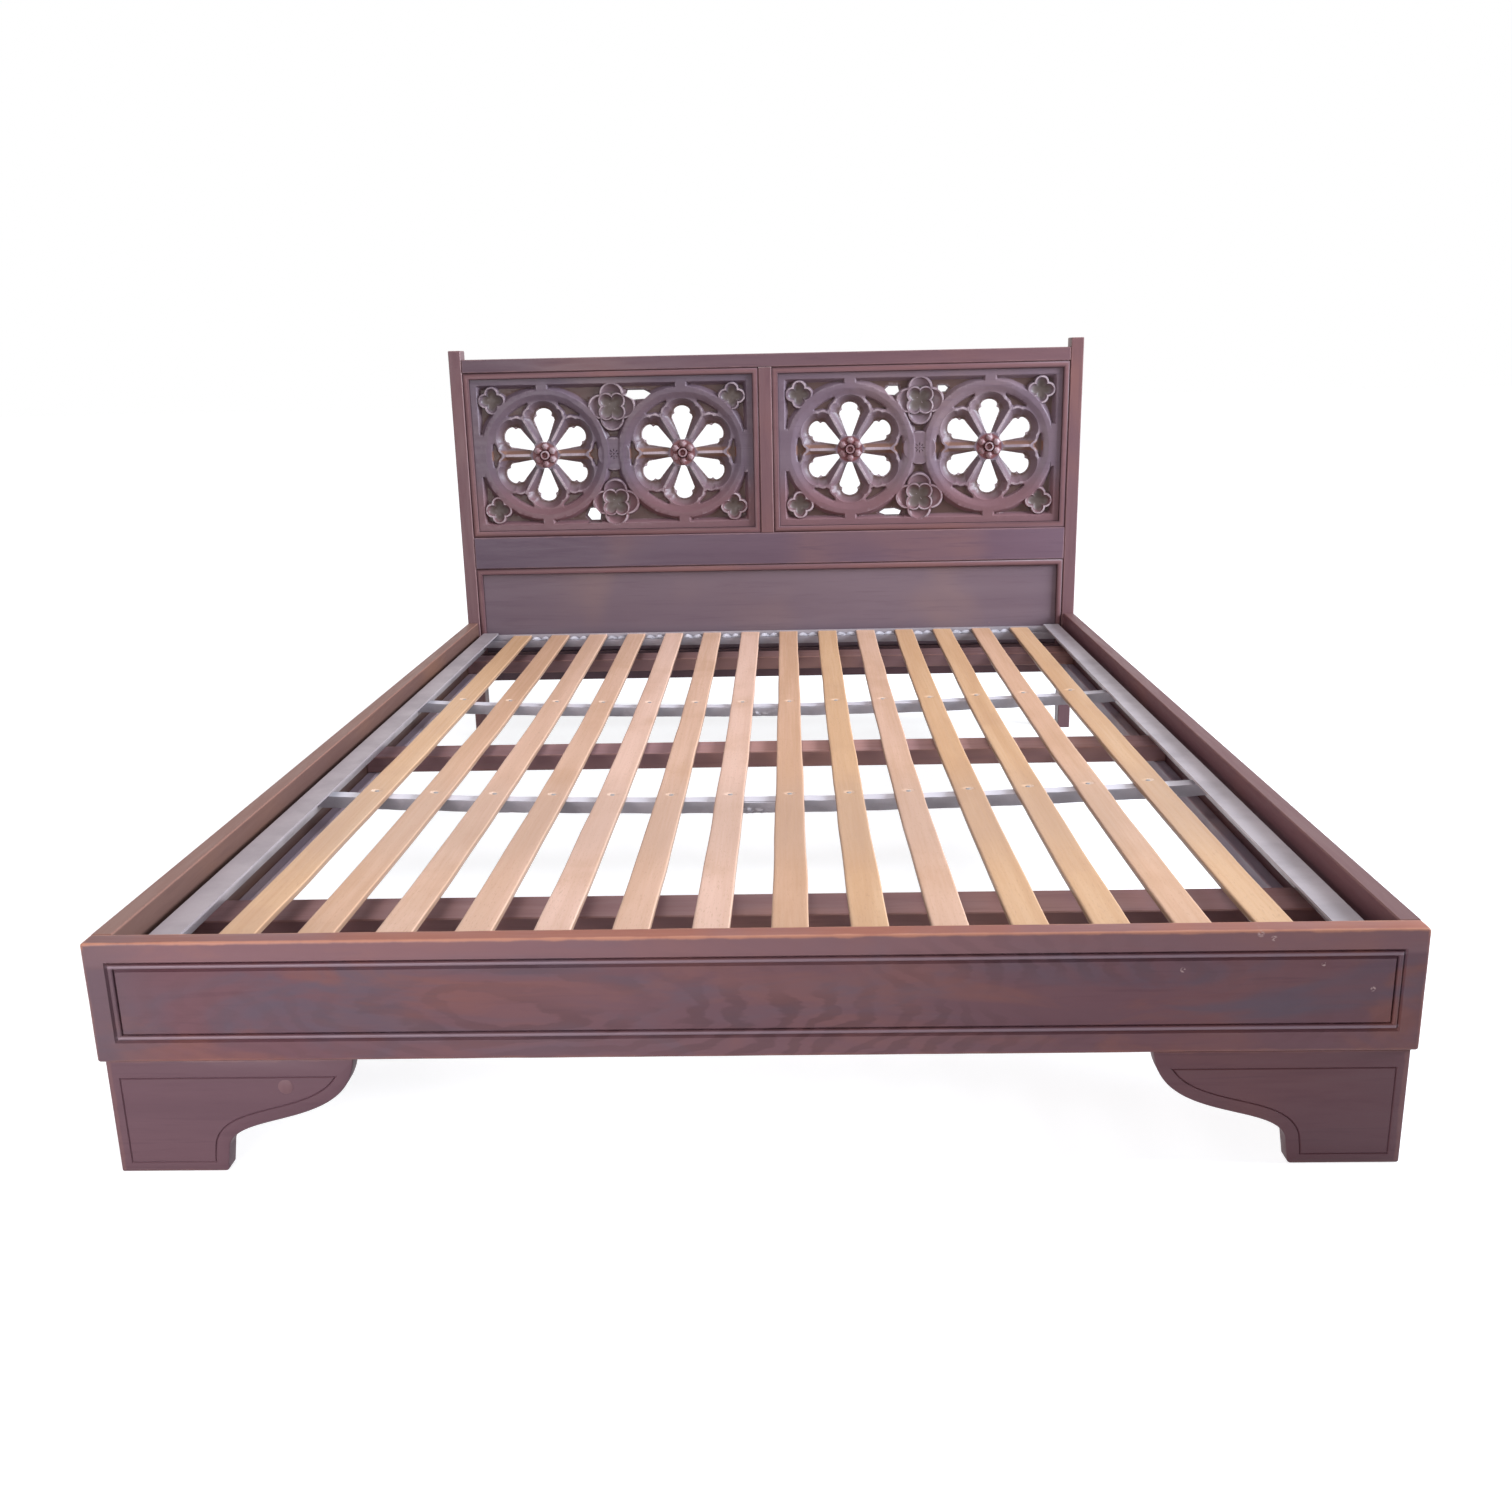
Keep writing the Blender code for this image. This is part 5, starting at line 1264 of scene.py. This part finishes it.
def rectangle_loop(half_width, low, high, depth, radius):
    """Points round a rectangle in the XZ plane with round corners, evenly spread along each side."""
    across = half_width - radius
    bottom, top = low + radius, high - radius
    places = [(-across, bottom), (across, bottom), (across, top), (-across, top)]
    corners = [arc(place, radius, start, start + 90, 6) for place, start in zip(places, (180, 270, 0, 90))]
    loop = []
    for corner, following, count in zip(corners, corners[1:] + corners[:1], EDGE_POINTS):
        start, end = Vector(corner[-1]), Vector(following[0])
        loop += corner + [tuple(start.lerp(end, j / count)) for j in range(1, count)]
    return [(x, depth, z) for x, z in loop]


def foot_section(thick):
    """Inset and depth of each line along the foot rail's face, from its field out and round the edge."""
    half = BEAD_WIDTH / 2
    reach = GROOVE_WIDTH + half
    middle = BEAD_MARGIN + reach
    slope = reach - GROOVE_WIDTH * 0.35
    stations = [(middle + reach, 0.0), (middle + slope, GROOVE_DEPTH * 0.8)]
    stations += [(middle + x, half * 0.9 + y) for x, y in arc((0.0, 0.0), half, 20, -200, 9)]
    stations += [(middle - slope, GROOVE_DEPTH * 0.8), (middle - reach, 0.0), (2 * FOOT_ARRIS, 0.0)]
    stations += arc((FOOT_ARRIS, FOOT_ARRIS), FOOT_ARRIS, -90, -180, 5)
    stations += arc((FOOT_ARRIS, thick - FOOT_ARRIS), FOOT_ARRIS, 180, 90, 5)
    return stations


def scuffed(x, y, z, middle):
    """A point of the foot rail's edge, worn in here and there towards the middle height."""
    inward = max(0.0, rough((x, y, z), 22.0, 5.0)) * 0.0006
    dent = max(0.0, rough((x, z, y), 16.0, 9.0)) * 0.0005
    return (x, y + inward, z - dent if z > middle else z + dent)


def build_foot_rail():
    low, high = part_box("foot_rail")
    loops = []
    for inset, depth in foot_section(high.y - low.y):
        outside = inset < BEAD_MARGIN
        corner = FOOT_CORNER if outside else BEAD_CORNER
        loop = rectangle_loop(high.x - inset, low.z + inset, high.z - inset, low.y + depth, corner)
        loops.append([scuffed(*point, FOOT_MIDDLE) for point in loop] if outside else loop)
    loops[0] = [(x, low.y, z) for x, _, z in loops[0]]
    loops[-1] = [(x, high.y, z) for x, _, z in loops[-1]]
    refine("foot_rail", loft(loops), foot_material(), BED, 40)


def moulding_section(depth):
    """Round bead between two quirks, from the frame's edge in to the panel."""
    bead_end = MOULDING_WIDTH - QUIRK_WIDTH * 0.6
    middle = (QUIRK_WIDTH + bead_end) / 2
    half = (bead_end - QUIRK_WIDTH) / 2
    section = [(0.0, depth), (0.0, QUIRK_DEPTH * 0.4), (QUIRK_WIDTH * 0.25, QUIRK_DEPTH)]
    section += [(middle + half * x, QUIRK_DEPTH * 0.75 * (1 - y)) for x, y in arc((0.0, 0.0), 1.0, 180, 0, 9)]
    return section + [(MOULDING_WIDTH, QUIRK_DEPTH * 1.2), (MOULDING_WIDTH, depth)]


def mitred_strip(path, section, face_y, ring):
    """A moulding along a path in the XZ plane, mitred at its corners.

    Each section point is an inset from the path, to its left, and a depth behind face_y.
    """
    return loft([[(x + inset * mitre.x, face_y + depth, z + inset * mitre.y) for inset, depth in section]
                 for (x, z), mitre in zip(path, mitres(path, ring))], ring)


def build_mouldings():
    """Bead frames round the carved boards, and one on three sides of the lower panel."""
    for label in ("left", "right", "lower"):
        node = label + "_panel_moulding"
        ring = label != "lower"
        low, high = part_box(node)
        left, right = low.x - PANEL_GAP, high.x + PANEL_GAP
        bottom, top = low.z - (PANEL_GAP if ring else 0.0), high.z + PANEL_GAP
        path = [(right, bottom), (right, top), (left, top), (left, bottom)]
        strip = mitred_strip(path, moulding_section(high.y - low.y), low.y, ring)
        refine(node, strip, moulding_material(node), BED, 50)


def ogee_curve(top):
    """Lower edge of a bracket foot: distance from its corner, and height."""
    run = BRACKET_WIDTH - ANKLE_WIDTH
    rise = top - ANKLE_HEIGHT
    handles = [
        (BRACKET_WIDTH, top),
        (BRACKET_WIDTH - OGEE_TOP_PULL[0] * run, top - OGEE_TOP_PULL[1] * rise),
        (ANKLE_WIDTH + OGEE_ANKLE_PULL[0] * run, ANKLE_HEIGHT + OGEE_ANKLE_PULL[1] * rise),
        (ANKLE_WIDTH, ANKLE_HEIGHT),
    ]
    curve = []
    for t in spread(0.0, 1.0, OGEE_POINTS):
        weights = ((1 - t) ** 3, 3 * t * (1 - t) ** 2, 3 * t * t * (1 - t), t ** 3)
        curve.append(tuple(sum(w * h[axis] for w, h in zip(weights, handles)) for axis in (0, 1)))
    return curve


def inset_loop(points, distance):
    """A closed outline moved to its right by a distance, mitred at its corners."""
    return [tuple(Vector(point) - distance * mitre) for point, mitre in zip(points, mitres(points))]


def bracket_line(top, curve):
    """Closed line cut in a bracket's face, a smaller bracket inside its outline."""
    corner = [(0.0, 0.0), (0.0, top)]
    inner = inset_loop(corner + curve + [(TOE_WIDTH, 0.0)], LINE_INSET)[len(corner):]
    lowest, highest = LINE_BOTTOM + LINE_WIDTH, LINE_TOP - LINE_WIDTH
    bend = [(u, v) for u, v in inner if lowest < v < highest and u > LINE_SIDE]
    start = [(LINE_SIDE, LINE_BOTTOM), (LINE_SIDE, LINE_TOP), (bend[0][0] + LINE_WIDTH, LINE_TOP)]
    return start + bend + [(bend[-1][0], LINE_BOTTOM)]


def bracket_solid(place, thick, top):
    """Bracket foot with eased edges and a line cut round its face."""
    curve = ogee_curve(top)
    line = bracket_line(top, curve)
    outline = arc((HEEL_CORNER, HEEL_CORNER), HEEL_CORNER, 270, 180, 4) + [(0.0, top)] + curve
    outline += arc((TOE_WIDTH - TOE_CORNER, TOE_CORNER), TOE_CORNER, 0, -90, 5)
    layers = [
        (outline, BRACKET_ARRIS),
        (inset_loop(outline, BRACKET_ARRIS * 0.35), BRACKET_ARRIS * 0.35),
        (inset_loop(outline, BRACKET_ARRIS), 0.0),
        (inset_loop(line, -LINE_WIDTH / 2), 0.0),
        (line, LINE_DEPTH),
        (inset_loop(line, LINE_WIDTH / 2), 0.0),
    ]
    points, edges, depths = [], [], []
    for loop, depth in layers:
        edges += chain(len(points), len(loop))
        points += [Vector(point) * MILLIMETRES for point in loop]
        depths += [depth] * len(loop)
    plan, _, triangles, origins, _, _ = delaunay_2d_cdt(points, edges, [], 1, 1e-3)
    solid = bmesh.new()
    front = [solid.verts.new(place(p.x / MILLIMETRES, depths[own[0]], p.y / MILLIMETRES))
             for p, own in zip(plan, origins)]
    owner = {own[0]: n for n, own in enumerate(origins)}
    rim = [front[owner[i]] for i in range(len(outline))]
    back = [solid.verts.new(place(u, thick, v)) for u, v in outline]
    for tri in triangles:
        solid.faces.new([front[i] for i in tri])
    for i, j in chain(0, len(outline)):
        solid.faces.new((rim[i], rim[j], back[j], back[i]))
    solid.faces.new(back)
    return solid


def build_brackets():
    for side, label in SIDES:
        node = label + "_front_bracket"
        low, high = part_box(node)
        corner = (low.x if side < 0 else high.x) + side * BRACKET_STEP

        def place(u, depth, v):
            return (corner - side * u, low.y + depth, v)

        solid = bracket_solid(place, high.y - low.y, high.z)
        material = board_material(node, "X", BRACKETS[label], (side * 1.9, 0.0, 5.0), 0.12)
        refine(node, solid, material, BED, 35)
        node = label + "_side_bracket"
        mesh = NODES[node].data.copy()
        mesh.transform(Matrix.Translation((side * BRACKET_STEP, 0.0, 0.0)))
        material = board_material(node, "Y", WALNUT, (0.0, side * 1.9, 3.0), 0.2)
        piece(node + "_fine", mesh, material, BED, (node,))


def build_plug():
    """Wooden plug in the face of the left bracket."""
    bracket = "left_front_bracket"
    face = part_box(bracket)[0].y
    solid = bmesh.new()
    profile = ((PLUG_RADIUS, 0.003), (PLUG_RADIUS, -0.0001), (PLUG_RADIUS - 0.001, -0.0005))
    add_turned(solid, profile, 32, lambda a, b, depth: (PLUG_PLACE[0] + a, face + depth, PLUG_PLACE[1] + b))
    material = board_material("bracket_plug", "Z", PLUG, (7.0, 0.0, 3.0), 0.0, node=bracket)
    piece("bracket_plug", mesh_from(solid, "bracket_plug"), material, BED, (), smooth=30)


# Slatted base


def base_spans():
    """Ends of the sagging part of the base along Y, and half its width."""
    _, foot_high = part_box("foot_channel")
    head_low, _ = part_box("head_channel")
    return foot_high.y, head_low.y, foot_high.x


SPAN_START, SPAN_END, HALF_SPAN = base_spans()


def dip(x, y):
    """How far the middle of the base has sagged at a point, deepest between the cross bars."""
    share = min(max((y - SPAN_START) / (SPAN_END - SPAN_START), 0.0), 1.0)
    across = max(1 - (x / HALF_SPAN) ** 2, 0.0)
    return SAG * across * math.sin(math.pi * share) / math.sin(math.pi / 3)


def bar_middle(label):
    low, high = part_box(label + "_cross_bar")
    return (low.y + high.y) / 2


def slat_section(half, thick):
    """Flat top and bottom with round edges, each point with its height above the bottom."""
    edge = SLAT_EDGE
    side = half - edge
    section = [(x, thick) for x in spread(side, -side, SLAT_COLUMNS)]
    section += arc((-side, thick - edge), edge, 112, 180, 4)
    section += arc((-side, edge), edge, 180, 270, 4)
    section += arc((side, edge), edge, 270, 360, 4)
    section += arc((side, thick - edge), edge, 0, 68, 4)
    return section


def slat_stations(start, end, bars):
    """Places along a slat: wide apart, and close together at its two rivets."""
    near = [bar + DIMPLE_RADIUS * i / 7 for bar in bars for i in range(-8, 9)]
    clear = [y for y in spread(start, end, SLAT_ROWS)
             if all(abs(y - bar) > DIMPLE_RADIUS * 1.3 for bar in bars)]
    return sorted(clear + near)


def slat_thickness(node):
    """Thickness at a slat's end, where it lies flat."""
    _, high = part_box(node)
    ends = [v.co.z for v in NODES[node].data.vertices if v.co.y > high.y - 1e-4]
    return max(ends) - min(ends)


def slat_dimple(across, y, bars):
    near = min(math.hypot(across, y - bar) for bar in bars) / DIMPLE_RADIUS
    return DIMPLE_DEPTH * max(1 - near * near, 0.0) ** 2


def slat_loops(number, node, top, bars):
    """Cross sections of a slat: sagging with the base, dimpled at its rivets and uneven at its edges."""
    low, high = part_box(node)
    middle = (low.x + high.x) / 2
    thick = slat_thickness(node)
    section = slat_section((high.x - low.x) / 2, thick)
    loops = []
    for y in slat_stations(low.y, high.y, bars):
        sway = SLAT_SWAY * rough((number * 1.7, y, 0.0), 5.0, 1.0)
        swell = SLAT_SWELL * rough((number * 2.3, y, 0.0), 9.0, 3.0)
        loop = []
        for across, up in section:
            z = top - thick + up - dip(middle + across, y)
            if up > thick * 0.9:
                z -= slat_dimple(across, y, bars)
            loop.append((middle + across + sway + swell * across, y, z))
        loops.append(loop)
    return loops


def add_rivet(solid, x, y, z):
    """Low domed head in the dimple of a slat."""
    profile = [(RIVET_RADIUS * share, up) for share, up in RIVET_PROFILE]
    add_turned(solid, profile, 14, lambda a, b, up: (x + a, y + b, z + up))


def build_slats():
    bars = (bar_middle("front"), bar_middle("rear"))
    materials = [slat_material(f"slat_wood_{i + 1}", pale, dark, (3.7 * i, 1.3 * i, 0.0))
                 for i, (pale, dark) in enumerate(SLAT_TONES)]
    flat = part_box("slat_01")[1].z
    rivets = bmesh.new()
    for number, kind in enumerate(SLAT_KINDS):
        node = f"slat_{number + 1:02d}"
        low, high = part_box(node)
        middle = (low.x + high.x) / 2
        top = max(high.z, flat)
        refine(node, loft(slat_loops(number, node, top, bars)), materials[kind], BASE, 50)
        for y in bars:
            add_rivet(rivets, middle, y, top - dip(middle, y) - DIMPLE_DEPTH)
    finish = steel_material("rivet_steel", RIVET)
    piece("slat_rivets", mesh_from(rivets, "slat_rivets"), finish, BASE, (), smooth=40)


def build_cross_bars():
    """Bent and dented angle bars under the slats, and the crushed plates that splice them."""
    finish = steel_material("bar_steel", BAR, 2.0, 0.6)
    half, third = BAR_FLANGE / 2, BAR_FLANGE / 6
    inner = BAR_THICK - half
    section = [(-half, 0.0), (-third, 0.0), (third, 0.0), (half, 0.0), (half, -BAR_THICK),
               (third, -BAR_THICK), (inner, -BAR_THICK), (inner, -BAR_LEG / 2), (inner, -BAR_LEG),
               (-half, -BAR_LEG), (-half, -BAR_LEG / 2)]
    for label in ("front", "rear"):
        node = label + "_cross_bar"
        low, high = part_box(node)
        middle = bar_middle(label)
        loops = []
        for x in spread(low.x, high.x, BAR_STATIONS):
            dent = DENT * min(1.0, (HALF_SPAN - abs(x)) / 0.05)
            loop = []
            for across, up in section:
                push = rough((x, across, up), 26.0, 4.0 + middle) * (0.4 + up / -BAR_LEG)
                drop = abs(rough((x, across * 2, up), 34.0, 8.0 - middle)) * 0.8
                loop.append((x, middle + across + dent * push, high.z + up - dip(x, middle) - dent * drop))
            loops.append(loop)
        refine(node, loft(loops), finish, BASE, 38)
        build_splice(label, finish)


def build_splice(label, finish):
    """Crushed cover plate at the middle of a bar."""
    node = label + "_splice_plate"
    low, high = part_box(node)
    loops = []
    for x in spread(low.x, high.x, 28):
        front, back = [], []
        for z in spread(low.z, high.z, 8):
            crush = 0.0050 * rough((x, 0.0, z), 75.0, 2.0) + 0.0030 * rough((x, 0.0, z), 190.0, 6.0)
            front.append((x, low.y - 0.0012 + min(crush, 0.0), z))
            back.append((x, high.y - 0.0006 + min(crush, 0.0), z))
        loops.append(front + back[::-1])
    refine(node, loft(loops), finish, BASE, 45)


def build_clips():
    """Crumpled strips that hold the slats in the head channel, two crossing in each gap."""
    low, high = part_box("head_channel")
    solid = bmesh.new()
    for n in range(SLAT_COUNT - 1):
        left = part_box(f"slat_{n + 1:02d}")[1].x + CLIP_GAP
        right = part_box(f"slat_{n + 2:02d}")[0].x - CLIP_GAP
        for turn in (0.0, math.pi):
            add_clip(solid, left, right, Vector((0.0, low.y + 0.0130, high.z - 0.0105)), turn, n)
    finish = steel_material("clip_steel", CLIP, 5.0)
    piece("head_clips", mesh_from(solid, "head_clips"), finish, BASE, (), smooth=50)


def add_clip(solid, left, right, line, turn, seed):
    """One wavy strip from slat to slat about a line across the bed, with a little twist."""
    loops = []
    for t in spread(0.0, 1.0, CLIP_STEPS):
        x = left + (right - left) * t
        swing = math.sin(FULL_TURN * t + turn)
        y = 0.0035 * swing + 0.0012 * rough((x, seed, 0.0), 60.0, turn)
        z = 0.0028 * swing + 0.0014 * rough((x, seed, 1.0), 90.0, turn)
        lean = 0.9 * swing
        over = Vector((0.0, math.cos(lean), math.sin(lean))) * (CLIP_WIDTH / 2)
        up = Vector((0.0, -math.sin(lean), math.cos(lean))) * (CLIP_THICK / 2)
        middle = line + Vector((x, y, z))
        loops.append([middle - over - up, middle + over - up, middle + over + up, middle - over + up])
    add_loft(solid, loops)


# Finishes of the nodes that keep their own shape


def dress(node, material):
    """Gives a CAD node its finish and leaves its shape."""
    slots = NODES[node].data.materials
    slots.clear()
    slots.append(material)


def dress_board(node, *look):
    dress(node, board_material(node, *look))


def dress_boards():
    for i, (node, (grain, wood, left_end_share)) in enumerate(HEAD_BOARDS.items()):
        shift = (1.0 + 2.5 * i, 0.0, 1.5 * i)
        dress_board(node, grain, wood, shift, 0.35, 0.42, None, RUBBED, left_end_share, 1.4)
    dress_board("lower_panel", "X", PANEL, (1.5, 0.0, 4.0), 0.0, 0.5, None, RUBBED, 0.15)
    for i, (_, label) in enumerate(SIDES):
        shift = (0.0, 2.0 * i, 3.0)
        dress_board(label + "_side_rail", "Y", RAILS[label], shift, 0.12, 0.5, RAIL_TOP_LIGHT[label])
        for part, grain, wood in INNER_BOARDS:
            dress_board(label + part, grain, wood, shift, 0.2, 0.55)
    for i, (label, wood) in enumerate(BEARERS.items()):
        dress_board(label + "_bearer", "X", wood, (i, 0.0, 2.0 * i), 0.3, 0.5)


def dress_steel():
    channel = steel_material("channel_steel", CHANNEL, 1.0)
    bolt = steel_material("bolt_steel_finish", BOLT, 3.0)
    for (_, label), shift in zip(SIDES, (0.0, 4.0)):
        dress(label + "_side_angle", steel_material(label + "_angle_steel", ANGLES[label], shift))
        dress(label + "_bed_bolt", bolt)
        dress(label + "_barrel_nut", bolt)
    dress("head_channel", channel)
    dress("foot_channel", channel)


bpy.context.scene.view_settings.view_transform = 'Standard'
make_camera()
make_sky()
make_lamps()
make_floor()
build_tracery()
build_foot_rail()
build_mouldings()
build_brackets()
build_plug()
build_slats()
build_cross_bars()
build_clips()
dress_boards()
dress_steel()
